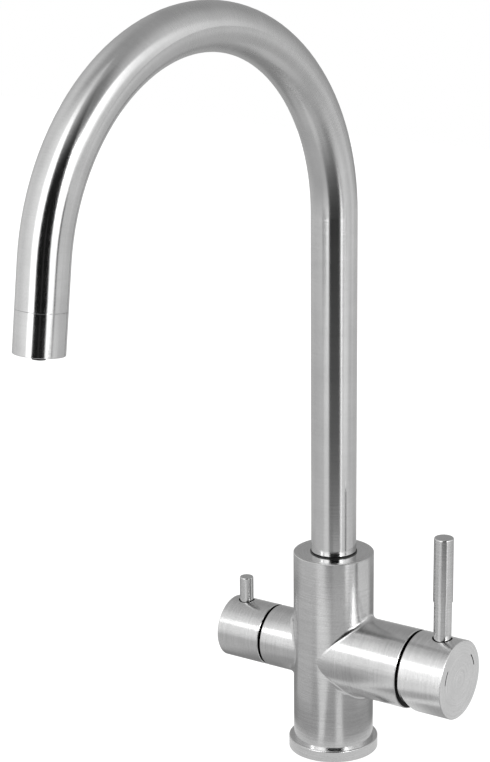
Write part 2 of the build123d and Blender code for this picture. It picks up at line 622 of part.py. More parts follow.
with BuildPart() as aerator_screen:
    with BuildSketch(OUTLET_FACE.offset(SCREEN_START)):
        Circle(AERATOR_R)
        Circle(NOZZLE_R + PUSH, mode=Mode.SUBTRACT)
        pitch = (AERATOR_R - NOZZLE_R) / (len(SCREEN_HOLE_COUNTS) + 1)
        for row, count in enumerate(SCREEN_HOLE_COUNTS, start=1):
            with PolarLocations(NOZZLE_R + row * pitch, count):
                Circle(SCREEN_HOLE_D / 2, mode=Mode.SUBTRACT)
    extrude(amount=SCREEN_T)
save(aerator_screen, "aerator_screen")

with BuildPart() as filter_nozzle:
    steps = (SLEEVE_LENGTH - AERATOR_INSET, NOZZLE_R), (NOZZLE_END, NOZZLE_TIP_R)
    revolve(turned(OUTLET, NOZZLE_START, *steps), axis=axis_of(OUTLET))
    bores = (NOZZLE_START + NOZZLE_SOCKET, PIPE_R + RUN), (NOZZLE_END, NOZZLE_TIP_R - NOZZLE_WALL)
    revolve(turned(OUTLET, NOZZLE_START, *bores), axis=axis_of(OUTLET), mode=Mode.SUBTRACT)
save(filter_nozzle, "filter_nozzle")

# Mixer cartridge, fixed pieces
with BuildPart() as cartridge_base:
    with BuildSketch(MIXER_FACE.offset(CARTRIDGE_SEAT)):
        Circle(CARTRIDGE_R)
    extrude(amount=CARTRIDGE_BASE_T)
    with BuildSketch(MIXER_FACE.offset(CARTRIDGE_SEAT)):
        with PolarLocations(PEG_RADIUS, 2):
            Circle(PEG_D / 2)
    extrude(amount=-PEG_LENGTH)
    with BuildSketch(MIXER_FACE.offset(CARTRIDGE_SEAT)):
        with Locations(*CARTRIDGE_PORTS):
            Circle(CARTRIDGE_PORT_R + PORT_SEAL_W + PUSH)
    extrude(amount=PORT_SEAL_T, mode=Mode.SUBTRACT)
    with BuildSketch(MIXER_FACE.offset(CARTRIDGE_SEAT)):
        with Locations(*CARTRIDGE_PORTS):
            Circle(CARTRIDGE_PORT_R)
    extrude(amount=CARTRIDGE_BASE_T, mode=Mode.SUBTRACT)
save(cartridge_base, "cartridge_base")

with BuildPart() as cartridge_seals:
    with BuildSketch(MIXER_FACE.offset(CARTRIDGE_SEAT)):
        with Locations(*CARTRIDGE_PORTS):
            Circle(CARTRIDGE_PORT_R + PORT_SEAL_W)
            Circle(CARTRIDGE_PORT_R, mode=Mode.SUBTRACT)
    extrude(amount=PORT_SEAL_T)
save(cartridge_seals, "cartridge_seals")

with BuildPart() as fixed_disc:
    with BuildSketch(MIXER_FACE.offset(BASE_END)):
        Circle(HOUSING_BORE_R - FIXED_DISC_MARGIN)
        with Locations(*CARTRIDGE_PORTS):
            Circle(CARTRIDGE_PORT_R, mode=Mode.SUBTRACT)
    extrude(amount=FIXED_DISC_T)
save(fixed_disc, "fixed_disc")

with BuildPart() as cartridge_housing:
    revolve(turned(MIXER, BASE_END, (HOUSING_END, CARTRIDGE_R)), axis=axis_of(MIXER))
    inside = turned(MIXER, BASE_END, (LID_START, HOUSING_BORE_R), (HOUSING_END, HUB_R + RUN))
    revolve(inside, axis=axis_of(MIXER), mode=Mode.SUBTRACT)
save(cartridge_housing, "cartridge_housing")

with BuildPart() as cartridge_nut:
    with BuildSketch(MIXER_FACE.offset(HOUSING_END)):
        Circle(NUT_R)
        Circle(HUB_R + CARTRIDGE_NUT_GAP, mode=Mode.SUBTRACT)
    extrude(amount=CARTRIDGE_NUT_H)
    with BuildSketch(MIXER_FACE.offset(NUT_END)):
        with PolarLocations(HUB_R + CARTRIDGE_NUT_GAP, SPANNER_SLOT_COUNT):
            Rectangle(NUT_R - HUB_R, SPANNER_SLOT_W)
    extrude(amount=-SPANNER_SLOT_DEPTH, mode=Mode.SUBTRACT)
save(cartridge_nut, "cartridge_nut")

# Mixer cartridge, pieces that turn with the lever
PIVOT = Plane(origin=(PIVOT_X, 0, BARREL_Z), x_dir=(1, 0, 0), z_dir=(0, -1, 0))
with BuildPart() as cartridge_rotor:
    rotor = turned(MIXER, ROTOR_START, (FLANGE_END, HOUSING_BORE_R - FREE), (HUB_END, HUB_R))
    revolve(rotor, axis=axis_of(MIXER))
    with BuildSketch(MIXER_FACE.offset(ROTOR_START)):
        Rectangle(STEM_W + 2 * FREE, STEM_SLOT_H)
    extrude(amount=HUB_END - ROTOR_START, mode=Mode.SUBTRACT)
    with BuildSketch(MIXER_FACE.offset(ROTOR_START)):
        with Locations((0, DISC_TRAVEL / 2)):
            Rectangle(2 * (BOSS_R + FREE), 2 * (BOSS_R + FREE) + DISC_TRAVEL)
    extrude(amount=BOSS_END + FREE - ROTOR_START, mode=Mode.SUBTRACT)
    with BuildSketch(PIVOT):
        Circle(PIVOT_PIN_D / 2 + PUSH)
    extrude(amount=HUB_R, both=True, mode=Mode.SUBTRACT)
save(cartridge_rotor, "cartridge_rotor")

with BuildPart() as rotor_pivot_pin:
    with BuildSketch(PIVOT):
        Circle(PIVOT_PIN_D / 2)
    extrude(amount=HUB_R - PIVOT_PIN_INSET, both=True)
save(rotor_pivot_pin, "rotor_pivot_pin")

# Ceramic disc that slides as the lever tilts, and the driver that the stem's ball pushes
with BuildPart() as moving_disc:
    with BuildSketch(MIXER_FACE.offset(DISC_START)):
        Circle(MOVING_DISC_D / 2)
    extrude(amount=MOVING_DISC_T)
    with BuildSketch(MIXER_FACE.offset(DISC_START)):
        Circle(DISC_POCKET_D / 2)
    extrude(amount=DISC_POCKET_DEPTH, mode=Mode.SUBTRACT)
save(moving_disc, "moving_disc")

with BuildPart() as disc_driver:
    driver = turned(MIXER, DISC_END, (DRIVER_END, MOVING_DISC_D / 2), (BOSS_END, BOSS_R))
    revolve(driver, axis=axis_of(MIXER))
    socket = turned(MIXER, DRIVER_END, (BOSS_END, BALL_R + BALL_PLAY))
    revolve(socket, axis=axis_of(MIXER), mode=Mode.SUBTRACT)
save(disc_driver, "disc_driver")

# Lever: stem, handle, rod and grub screw
with BuildPart() as cartridge_stem:
    with BuildSketch(MIXER_FACE.offset(PIVOT_X - STEM_BEHIND_PIVOT)):
        Rectangle(STEM_W, STEM_W)
    extrude(amount=STEM_END - PIVOT_X + STEM_BEHIND_PIVOT)
    with BuildSketch(MIXER_FACE.offset(BALL_X)):
        Circle(STEM_NECK_D / 2)
    extrude(amount=BALL_REACH - STEM_BEHIND_PIVOT)
    with Locations((BALL_X, 0, BARREL_Z)):
        Sphere(BALL_R)
    with BuildSketch(PIVOT):
        Circle(PIVOT_PIN_D / 2 + RUN)
    extrude(amount=STEM_W, both=True, mode=Mode.SUBTRACT)
save(cartridge_stem, "cartridge_stem")


def cut_station(drop):
    """Where the lower rear of the handle is cut, at a depth below the axis, to clear the tilt."""
    tilt = radians(MIXER_TILT)
    return PIVOT_X + (MIXER_END - PIVOT_X + FREE + drop * sin(tilt)) / cos(tilt)


GRUB_X = (MIXER_CUP_END + STEM_END) / 2
MARK_RADIUS = MIXER_R - MARK_RADIUS_INSET
with BuildPart() as mixer_handle:
    revolve(turned(MIXER, MIXER_REAR, (MIXER_FRONT, MIXER_R)), axis=axis_of(MIXER))
    chamfer(mixer_handle.edges().filter_by(GeomType.CIRCLE), length=EDGE_BREAK)
    with BuildSketch(MIXER):
        with BuildLine():
            Polyline(
                (cut_station(0), 0),
                (cut_station(BODY_R), -BODY_R),
                (PIVOT_X, -BODY_R),
                (PIVOT_X, 0),
                close=True,
            )
        make_face()
    extrude(amount=BODY_R, both=True, mode=Mode.SUBTRACT)
    cup = turned(MIXER, MIXER_REAR, (MIXER_CUP_END, MIXER_R - HANDLE_CUP_WALL))
    revolve(cup, axis=axis_of(MIXER), mode=Mode.SUBTRACT)
    with BuildSketch(MIXER_FACE.offset(MIXER_REAR)):
        Rectangle(STEM_W + 2 * PUSH, STEM_W + 2 * PUSH)
    extrude(amount=STEM_END + FREE - MIXER_REAR, mode=Mode.SUBTRACT)
    with BuildSketch(Plane.XY.offset(MIXER_CROWN)):
        with Locations((ROD_X, 0)):
            Circle(ROD_SHANK_D / 2 + PUSH)
    extrude(amount=-ROD_SEAT, mode=Mode.SUBTRACT)
    with BuildSketch(Plane.XY.offset(MIXER_CROWN)):
        with Locations((ROD_X, 0)):
            Circle(ROD_SHANK_D / 2 + ROD_WELL_GAP)
    extrude(amount=-ROD_WELL_DEPTH, mode=Mode.SUBTRACT)
    with BuildSketch(BACK_FACE):
        with Locations((-GRUB_X, BARREL_Z)):
            Circle(GRUB_D / 2 + PUSH)
    extrude(amount=MIXER_R, mode=Mode.SUBTRACT)
    with BuildSketch(MIXER_FACE.offset(MIXER_FRONT)):
        for middle in (MARK_LIFT_BACK, 180 - MARK_LIFT_FRONT):
            with BuildLine():
                mark = CenterArc((0, 0), MARK_RADIUS, middle - MARK_ARC / 2, MARK_ARC)
            SlotArc(mark, MARK_W)
    extrude(amount=-MARK_DEPTH, mode=Mode.SUBTRACT)
save(mixer_handle, "mixer_handle")

with BuildPart() as mixer_lever_rod:
    with BuildSketch(Plane.XY.offset(MIXER_CROWN - ROD_SEAT)):
        with Locations((ROD_X, 0)):
            Circle(ROD_SHANK_D / 2)
    extrude(amount=ROD_SEAT + ROD_SHANK_SHOWN)
    with BuildSketch(Plane.XY.offset(MIXER_CROWN + ROD_SHANK_SHOWN)):
        with Locations((ROD_X, 0)):
            Circle(ROD_GRIP_D / 2)
    extrude(amount=ROD_GRIP_LENGTH)
    fillet(mixer_lever_rod.edges().group_by(Axis.Z)[-1], radius=ROD_ROUND)
save(mixer_lever_rod, "mixer_lever_rod")


def grub_screw(along, start):
    """Socket set screw that points inwards from the back of a handle."""
    with BuildPart() as screw:
        with BuildSketch(BACK_FACE.offset(start)):
            with Locations((-along, BARREL_Z)):
                Circle(GRUB_D / 2)
        extrude(amount=GRUB_LENGTH)
        with BuildSketch(BACK_FACE.offset(start + GRUB_LENGTH)):
            with Locations((-along, BARREL_Z)):
                RegularPolygon(SOCKET_FLATS / 2, 6, major_radius=False)
        extrude(amount=-HEX_DEPTH, mode=Mode.SUBTRACT)
    return screw


mixer_grub_screw = grub_screw(GRUB_X, STEM_W / 2)
save(mixer_grub_screw, "mixer_grub_screw")

# Filter valve, fixed pieces
with BuildPart() as filter_valve_seal:
    with BuildSketch(FILTER_FACE.offset(VALVE_SEAT)):
        Circle(VALVE_CHAMBER_R)
        Circle(VALVE_CHAMBER_R - VALVE_SEAL_W, mode=Mode.SUBTRACT)
    extrude(amount=VALVE_SEAL_T)
save(filter_valve_seal, "filter_valve_seal")

with BuildPart() as filter_fixed_disc:
    with BuildSketch(FILTER_FACE.offset(VALVE_DISC_START)):
        Circle(VALVE_CHAMBER_R - PUSH)
        with PolarLocations(VALVE_PORT_RADIUS, 2, start_angle=90):
            Circle(VALVE_PORT_D / 2, mode=Mode.SUBTRACT)
    extrude(amount=VALVE_FIXED_DISC_T)
save(filter_fixed_disc, "filter_fixed_disc")

VALVE_ORING_R = VALVE_ORING_D / 2
VALVE_ORING_X = VALVE_FLANGE_START - VALVE_ORING_D
with BuildPart() as filter_valve_body:
    flange = (VALVE_FLANGE_END, VALVE_FLANGE_D / 2)
    steps = (VALVE_FLANGE_START, VALVE_R), flange, (VALVE_NECK_END, VALVE_NECK_D / 2)
    revolve(turned(FILTER, VALVE_DISC_START, *steps), axis=axis_of(FILTER))
    bores = (VALVE_CHAMBER_END, VALVE_CHAMBER_R), (VALVE_NECK_END, SPINDLE_R + RUN)
    revolve(turned(FILTER, VALVE_DISC_START, *bores), axis=axis_of(FILTER), mode=Mode.SUBTRACT)
    with BuildSketch(FILTER):
        with Locations((VALVE_ORING_X, VALVE_R)):
            Rectangle(VALVE_ORING_D + 2 * FACE, 2 * VALVE_ORING_D + 2 * FACE)
    revolve(axis=axis_of(FILTER), mode=Mode.SUBTRACT)
    with BuildSketch(Plane.XY.offset(BARREL_Z)):
        with Locations((-FILTER_WAY_X, 0)):
            Circle(WAY_R)
    extrude(amount=VALVE_R, both=True, mode=Mode.SUBTRACT)
save(filter_valve_body, "filter_valve_body")

with BuildPart() as filter_valve_oring:
    ring_r = VALVE_R - FACE - VALVE_ORING_R
    revolve(cord_section(FILTER, VALVE_ORING_X, ring_r, VALVE_ORING_R), axis=axis_of(FILTER))
save(filter_valve_oring, "filter_valve_oring")

# Filter valve, pieces that turn with its handle
with BuildPart() as filter_moving_disc:
    with BuildSketch(FILTER_FACE.offset(VALVE_MOVING_START)):
        Circle(VALVE_CHAMBER_R - FREE)
        with PolarLocations(VALVE_PORT_RADIUS, 2):
            Circle(VALVE_PORT_D / 2, mode=Mode.SUBTRACT)
    extrude(amount=VALVE_MOVING_DISC_T)
save(filter_moving_disc, "filter_moving_disc")

SPINDLE_ORING_R = SPINDLE_ORING_D / 2
SPINDLE_ORING_X = (VALVE_FLANGE_START + VALVE_FLANGE_END) / 2
SPINDLE_ORING_RING_R = SPINDLE_R + RUN - FACE / 2 - SPINDLE_ORING_R
with BuildPart() as filter_spindle:
    steps = (SPINDLE_HEAD_END, VALVE_CHAMBER_R - FREE), (FILTER_CUP_END - FREE, SPINDLE_R)
    revolve(turned(FILTER, VALVE_MOVING_END, *steps), axis=axis_of(FILTER))
    with BuildSketch(FILTER_FACE.offset(FILTER_CUP_END - FREE)):
        Rectangle(SPINDLE_SQUARE, SPINDLE_SQUARE)
    extrude(amount=SQUARE_END - FILTER_CUP_END + FREE)
    with BuildSketch(FILTER):
        with Locations((SPINDLE_ORING_X, SPINDLE_ORING_RING_R)):
            Rectangle(SPINDLE_ORING_D + 2 * FACE, SPINDLE_ORING_D + 2 * FACE)
    revolve(axis=axis_of(FILTER), mode=Mode.SUBTRACT)
    with BuildSketch(FILTER):
        with Locations((CLIP_START + CLIP_T / 2, SPINDLE_R)):
            Rectangle(CLIP_T + 2 * FACE, 2 * CLIP_BITE)
    revolve(axis=axis_of(FILTER), mode=Mode.SUBTRACT)
save(filter_spindle, "filter_spindle")

with BuildPart() as spindle_oring:
    cord = cord_section(FILTER, SPINDLE_ORING_X, SPINDLE_ORING_RING_R, SPINDLE_ORING_R)
    revolve(cord, axis=axis_of(FILTER))
save(spindle_oring, "spindle_oring")

CLIP_R = SPINDLE_R - CLIP_BITE + PUSH + CLIP_W / 2
with BuildPart() as spindle_clip:
    with BuildSketch(FILTER_FACE.offset(CLIP_START)):
        with BuildLine():
            arc = CenterArc((0, 0), CLIP_R, CLIP_OPENING / 2, 360 - CLIP_OPENING)
        SlotArc(arc, CLIP_W)
    extrude(amount=CLIP_T)
save(spindle_clip, "spindle_clip")

FILTER_GRUB_X = (FILTER_CUP_END + SQUARE_END) / 2
with BuildPart() as filter_handle:
    revolve(turned(FILTER, FILTER_REAR, (FILTER_FRONT, FILTER_R)), axis=axis_of(FILTER))
    chamfer(filter_handle.edges().filter_by(GeomType.CIRCLE), length=EDGE_BREAK)
    cup = turned(FILTER, FILTER_REAR, (FILTER_CUP_END, FILTER_R - FILTER_CUP_WALL))
    revolve(cup, axis=axis_of(FILTER), mode=Mode.SUBTRACT)
    with BuildSketch(FILTER_FACE.offset(FILTER_REAR)):
        Rectangle(SPINDLE_SQUARE + 2 * PUSH, SPINDLE_SQUARE + 2 * PUSH)
    extrude(amount=SQUARE_END + FREE - FILTER_REAR, mode=Mode.SUBTRACT)
    with BuildSketch(Plane.XY.offset(FILTER_CROWN)):
        with Locations((-PIN_X, 0)):
            Circle(PIN_D / 2 + PUSH)
    extrude(amount=-PIN_SEAT, mode=Mode.SUBTRACT)
    with BuildSketch(Plane.XY.offset(FILTER_CROWN)):
        with Locations((-PIN_X, 0)):
            Circle(PIN_D / 2 + PIN_WELL_GAP)
    extrude(amount=-PIN_WELL_DEPTH, mode=Mode.SUBTRACT)
    with BuildSketch(BACK_FACE):
        with Locations((FILTER_GRUB_X, BARREL_Z)):
            Circle(GRUB_D / 2 + PUSH)
    extrude(amount=FILTER_R, mode=Mode.SUBTRACT)
save(filter_handle, "filter_handle")

with BuildPart() as filter_lever_pin:
    with BuildSketch(Plane.XY.offset(FILTER_CROWN - PIN_SEAT)):
        with Locations((-PIN_X, 0)):
            Circle(PIN_D / 2)
    extrude(amount=PIN_SEAT + PIN_SHOWN)
    fillet(filter_lever_pin.edges().group_by(Axis.Z)[-1], radius=PIN_ROUND)
save(filter_lever_pin, "filter_lever_pin")

filter_grub_screw = grub_screw(-FILTER_GRUB_X, SPINDLE_SQUARE / 2)
save(filter_grub_screw, "filter_grub_screw")
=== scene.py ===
# %% [markdown]
# A brushed steel kitchen faucet, as it stands in a maker's catalogue: a swan neck that swivels on a
# stout body, a mixer with an upright rod on one side and a small filtered-water tap on the other.
# All solids come from the packed frame. This lesson gives each of them its finish, cuts a real thread
# on the fixing shank, and sets up the light and the lens.

# %% Load the frame
import json
from math import atan2, ceil, cos, hypot, pi, radians, sin

import bmesh
import bpy
from mathutils import Matrix, Vector


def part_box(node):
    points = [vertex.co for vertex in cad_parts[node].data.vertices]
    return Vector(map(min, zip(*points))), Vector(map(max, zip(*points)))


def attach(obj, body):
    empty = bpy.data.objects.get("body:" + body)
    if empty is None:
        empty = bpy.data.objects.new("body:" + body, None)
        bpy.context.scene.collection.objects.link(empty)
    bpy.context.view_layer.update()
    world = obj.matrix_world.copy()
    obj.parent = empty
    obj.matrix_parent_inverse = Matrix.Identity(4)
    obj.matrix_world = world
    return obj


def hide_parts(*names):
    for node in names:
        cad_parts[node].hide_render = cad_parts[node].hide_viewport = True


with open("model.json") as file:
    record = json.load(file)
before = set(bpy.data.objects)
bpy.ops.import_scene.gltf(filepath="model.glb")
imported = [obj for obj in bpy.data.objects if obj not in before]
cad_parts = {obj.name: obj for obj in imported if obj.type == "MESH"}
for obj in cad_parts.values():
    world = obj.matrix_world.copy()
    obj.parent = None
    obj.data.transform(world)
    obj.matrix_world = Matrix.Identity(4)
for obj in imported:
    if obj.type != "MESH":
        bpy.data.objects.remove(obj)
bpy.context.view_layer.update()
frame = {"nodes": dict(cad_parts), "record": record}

nodes = frame["nodes"]

# %% [markdown]
# The lens comes first, because every later choice is judged through it. The catalogue picture was
# taken from the right and a little above, with a long lens, and then cropped, so the lens axis isn't
# in the middle of the picture. Blender keeps such a crop as the camera's shift. One could also turn
# the camera until the middle fits, but then upright lines would lean.

# %% The lens
PHOTO_W, PHOTO_H = 490, 762
LENS_AXIS = Vector((321.3, 424.1))    # where the lens axis meets the picture, in pixels
FOCAL_PX = 2299.5
AIM = Vector((0, 0, 0.2))             # a point on the column
AIM_PX = Vector((334.5, 406.5))       # the same point in the picture
LENS_AZIMUTH = radians(32.37)
LENS_ELEVATION = radians(16.63)
LENS_DISTANCE = 1.25
SENSOR_MM = 36


def towards(azimuth, elevation):
    """Unit vector from the object to a place around it; azimuth 0 is the front."""
    flat = cos(elevation)
    return Vector((sin(azimuth) * flat, -cos(azimuth) * flat, sin(elevation)))


aim_offset = AIM_PX - LENS_AXIS
yaw = atan2(aim_offset.x, FOCAL_PX)
pitch = atan2(aim_offset.y, hypot(FOCAL_PX, aim_offset.x))
back = towards(LENS_AZIMUTH + yaw, LENS_ELEVATION - pitch)
right = Vector((cos(LENS_AZIMUTH + yaw), sin(LENS_AZIMUTH + yaw), 0))
up = back.cross(right)
lens_place = AIM + towards(LENS_AZIMUTH, LENS_ELEVATION) * LENS_DISTANCE

lens = bpy.data.cameras.new("catalogue_lens")
lens.sensor_width = SENSOR_MM
lens.lens = FOCAL_PX * SENSOR_MM / PHOTO_H
lens.shift_x = (PHOTO_W / 2 - LENS_AXIS.x) / PHOTO_H
lens.shift_y = (LENS_AXIS.y - PHOTO_H / 2) / PHOTO_H
camera = bpy.data.objects.new("catalogue_camera", lens)
turn = Matrix((right, up, back)).transposed().to_4x4()
camera.matrix_world = Matrix.Translation(lens_place) @ turn
bpy.context.scene.collection.objects.link(camera)
bpy.context.scene.camera = camera
print("lens", round(lens.lens, 1), "mm, shift", round(lens.shift_x, 3), round(lens.shift_y, 3))

# %% [markdown]
# Every finish below is worked out by shader nodes, with no pictures. Wiring nodes by hand is slow to
# read, so one small class wraps a socket: adding or multiplying two of them adds the Math node, and
# its method `node` makes any other kind of node. The rest are short names for what is used often.


# %% A socket that can be added and multiplied
class Wire:
    """A node's output in a tree. Sums of wires and numbers add Math nodes."""

    def __init__(self, tree, socket=None):
        self.tree = tree
        self.socket = socket

    def node(self, kind, settings=None, sockets=None, output=0):
        """Add a node: first its settings, then a value or a wire for each socket."""
        made = self.tree.nodes.new(kind)
        for name, value in (settings or {}).items():
            setattr(made, name, value)
        for name, value in (sockets or {}).items():
            if isinstance(value, Wire):
                self.tree.links.new(value.socket, made.inputs[name])
            else:
                made.inputs[name].default_value = value
        return Wire(self.tree, made.outputs[output] if made.outputs else None)

    def maths(self, operation, first, second=0.0):
        return self.node("ShaderNodeMath", {"operation": operation}, {0: first, 1: second})

    def __add__(self, other):
        return self.maths("ADD", self, other)

    def __radd__(self, other):
        return self.maths("ADD", other, self)

    def __sub__(self, other):
        return self.maths("SUBTRACT", self, other)

    def __rsub__(self, other):
        return self.maths("SUBTRACT", other, self)

    def __mul__(self, other):
        return self.maths("MULTIPLY", self, other)

    def __rmul__(self, other):
        return self.maths("MULTIPLY", other, self)

    def __truediv__(self, other):
        return self.maths("DIVIDE", self, other)

    def __rtruediv__(self, other):
        return self.maths("DIVIDE", other, self)

    def __pow__(self, power):
        return self.maths("POWER", self, power)

    def below(self, limit):
        """1 where this wire is under the limit, else 0."""
        return self.maths("LESS_THAN", self, limit)

    def above(self, limit):
        """1 where this wire is over the limit, else 0."""
        return self.maths("GREATER_THAN", self, limit)

    def step(self, low, high):
        """0 below low, 1 above high, smooth between them."""
        sockets = {"Value": self, "From Min": low, "From Max": high}
        return self.node("ShaderNodeMapRange", {"interpolation_type": "SMOOTHSTEP"}, sockets)

    def until(self, low, high):
        """1 below low, 0 above high, smooth between them."""
        return 1 - self.step(low, high)

    def within(self, low, high, soft):
        """1 between low and high, fading to 0 over a soft edge outside them."""
        return self.step(low - soft, low) * self.until(high, high + soft)

    def parts(self):
        """The three numbers of a vector."""
        split = self.node("ShaderNodeSeparateXYZ", None, {0: self}).socket.node
        return [Wire(self.tree, socket) for socket in split.outputs]

    def vector(self, x, y, z):
        return self.node("ShaderNodeCombineXYZ", None, {0: x, 1: y, 2: z})

    def neutral(self):
        """This number as a grey colour."""
        return self.node("ShaderNodeCombineColor", None, {0: self, 1: self, 2: self})

    def mixed(self, first, second):
        """A colour from first to second, as this wire goes from 0 to 1."""
        # A Mix node has sockets for each kind of value: 6, 7 and output 2 are those for colours.
        sockets = {0: self, 6: first, 7: second}
        return self.node("ShaderNodeMix", {"data_type": "RGBA"}, sockets, output=2)

    def surface(self, first, second):
        """A shader from first to second, as this wire goes from 0 to 1."""
        return self.node("ShaderNodeMixShader", None, {0: self, 1: first, 2: second})

    def noise(self, place, scale, detail=2.0, roughness=0.5):
        """Soft random values from 0 to 1 at a place."""
        sockets = {"Vector": place, "Scale": scale, "Detail": detail, "Roughness": roughness}
        return self.node("ShaderNodeTexNoise", None, sockets)

    def feed(self, shader, socket_name):
        """Lead this wire into a shader's socket."""
        self.tree.links.new(self.socket, shader.inputs[socket_name])

    def emboss(self, shader, depth):
        """Let a surface stand out by this wire times a depth in metres."""
        sockets = {"Height": self, "Distance": depth, "Strength": 1.0}
        self.node("ShaderNodeBump", None, sockets).feed(shader, "Normal")


print("a wire knows", ", ".join(name for name in vars(Wire) if not name.startswith("_")))

# %% [markdown]
# A finish starts as an empty material. Its textures are measured in metres in the piece's own frame,
# not spread over the piece's box as Blender's generated coordinates are, so a scratch on a small
# piece is as fine as on a large one, and the finish goes with the piece when a joint moves.


# %% Making a finish and wearing it
def new_finish(name):
    """An empty material with its shader, and the place of a point in the piece's frame."""
    finish = bpy.data.materials.new(name)
    finish.use_nodes = True
    shader = finish.node_tree.nodes["Principled BSDF"]
    place = Wire(finish.node_tree).node("ShaderNodeTexCoord", output="Object")
    return finish, shader, place


def wear(piece_names, finish):
    """Give a finish to the nodes of these names."""
    for name in piece_names:
        nodes[name].data.materials.clear()
        nodes[name].data.materials.append(finish)
    print(finish.name, "on", ", ".join(piece_names))


print("pieces to dress:", ", ".join(sorted(nodes)))

# %% [markdown]
# Brushed stainless steel is polished with an abrasive belt while the work turns, so the scratches run
# round each piece and reflections smear along its axis. A texture painted for each piece could show
# this, but stretched noise does it for all of them: it changes quickly along the axis and slowly
# round it. On a turned piece, the distance along the axis plus the radius draws lines round the side
# and rings on the flat ends alike. Recesses get painted shade: their tone is darkened almost to black.

# %% Brushed steel
MM = 0.001
STEEL_TONE = 0.62
STEEL_GLOSS = 0.2          # its roughness
FINE_LINES = 3400.0        # scratches in a metre along the axis
BROAD_LINES = 1500.0
DRAG = 60.0                # how slowly a scratch changes round the piece, in a metre
CLOUDS = 60.0              # patches in a metre
GRAIN = 1900.0             # specks in a metre
RICH = 3.0                 # detail of the finer noise
NOISE_MIDDLE = 0.5
STREAK = 0.46              # how far the scratches change the tone
GRAIN_SHARE = 0.9          # how far the specks do, beside the scratches
CLOUD_TONE = 0.22          # how far the patches do
UNEVEN = 0.4               # how far scratches and patches change the roughness
SATIN_ROUGH = 0.2          # added to the roughness where the steel is satin
RECESS_ROUGH = 0.3         # added to it in a recess
SHADE_AND_ENAMEL_TONE = 0.03         # share of the tone left in a recess as painted shade, and in a stroke of dark enamel
SCRATCH_DEPTH = 0.02 * MM


def scratches(along, side_a, side_b):
    """Stretched noise about 0: quick along the axis, slow round the piece."""
    fine_place = along.vector(side_a * DRAG, side_b * DRAG, along * FINE_LINES)
    broad_place = along.vector(side_a * DRAG, side_b * DRAG, along * BROAD_LINES)
    fine = along.noise(fine_place, 1.0, detail=RICH)
    broad = along.noise(broad_place, 1.0)
    return (fine + broad) / 2 - NOISE_MIDDLE


def brushed_steel(
    shader, place, lines, recess=0.0, satin=0.0, tone=STEEL_TONE, gloss=STEEL_GLOSS, streak=STREAK
):
    """Wire up brushed steel: lines from scratches, and where it is recessed or satin, from 0 to 1; a
    recess is darkened, as painted shade in wells and gaps and as dark enamel in strokes.
    """
    cloud = place.noise(place, CLOUDS, detail=RICH) - NOISE_MIDDLE
    grain = place.noise(place, GRAIN) - NOISE_MIDDLE
    uneven_tone = tone * (1 + (lines + grain * GRAIN_SHARE) * streak + cloud * CLOUD_TONE)
    # Painted shade: a recess keeps only a sliver of the tone, and an engraved stroke is darkened the
    # same way, as enamel.
    (uneven_tone * (1 - recess * (1 - SHADE_AND_ENAMEL_TONE))).neutral().feed(shader, "Base Color")
    roughness = gloss * (1 + lines * UNEVEN + cloud * UNEVEN)
    (roughness + satin * SATIN_ROUGH + recess * RECESS_ROUGH).feed(shader, "Roughness")
    lines.emboss(shader, SCRATCH_DEPTH)
    shader.inputs["Metallic"].default_value = 1.0


print("brushed steel with", FINE_LINES * MM, "and", BROAD_LINES * MM, "scratches in a millimetre")

# %% [markdown]
# The neck is one drawn tube, bent over a former. Its scratches run round the tube all the way, so the
# noise needs the length along the tube's middle line: the height on the column, and the bend's radius
# times the angle on the arch. Its straight ends are brushed finer than the body, so that reflections
# have crisp edges there. The bend was dressed by hand after bending and is more satin.

# %% The neck
NECK_RADIUS = 109.5 * MM
NECK_START = 306.5 * MM    # height at which the bend starts
SPOUT_TURN = radians(5)
NECK_GLOSS = 0.15
NECK_STREAK = 0.18
BEND_SPAN = (radians(32), radians(95), radians(32))    # satin from, to, and soft edge, along the bend
BEND_SATIN = 0.13

neck_steel, shader, place = new_finish("brushed_neck")
x, y, z = place.parts()
forward = x * -sin(SPOUT_TURN) - y * cos(SPOUT_TURN)
angle = place.maths("ARCTAN2", z - NECK_START, NECK_RADIUS - forward)
along = z + z.above(NECK_START) * (NECK_START + NECK_RADIUS * angle - z)
gloss = NECK_GLOSS + angle.within(*BEND_SPAN) * BEND_SATIN
brushed_steel(shader, place, scratches(along, x, y), gloss=gloss, streak=NECK_STREAK)
wear(["spout_tube"], neck_steel)

# %% [markdown]
# The upright turned pieces are the base ring, the mixer's rod, the filter tap's pin and the sleeve at
# the end of the spout. Each is turned about its own axis, which the frame gives as the middle of its
# box, so one function dresses them all.


# %% Upright turned pieces
def middle(name):
    """Middle of a node's box."""
    low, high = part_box(name)
    return (low + high) / 2


def radius(a, b):
    """Distance from the line where a and b are 0."""
    return a.maths("SQRT", a * a + b * b)


def dress_upright(name, gloss=STEEL_GLOSS, streak=STREAK):
    """Brush a piece that was turned about an upright axis."""
    finish, shader, place = new_finish("brushed_" + name)
    x, y, z = place.parts()
    centre = middle(name)
    side_a, side_b = x - centre.x, y - centre.y
    lines = scratches(z + radius(side_a, side_b), side_a, side_b)
    brushed_steel(shader, place, lines, gloss=gloss, streak=streak)
    wear([name], finish)


for name in ("base_ring", "mixer_lever_rod", "filter_lever_pin"):
    dress_upright(name)
dress_upright("outlet_sleeve", gloss=NECK_GLOSS, streak=NECK_STREAK)

# %% [markdown]
# The two handles are short barrels, turned about a level axis. What lies below their outer skin, such
# as the well round the rod, the cup at the back and the face across the gap, gets painted shade. The
# mixer's handle is paler and more satin than the rest. Its front face also carries two short strokes,
# cut into it and filled with dark enamel.

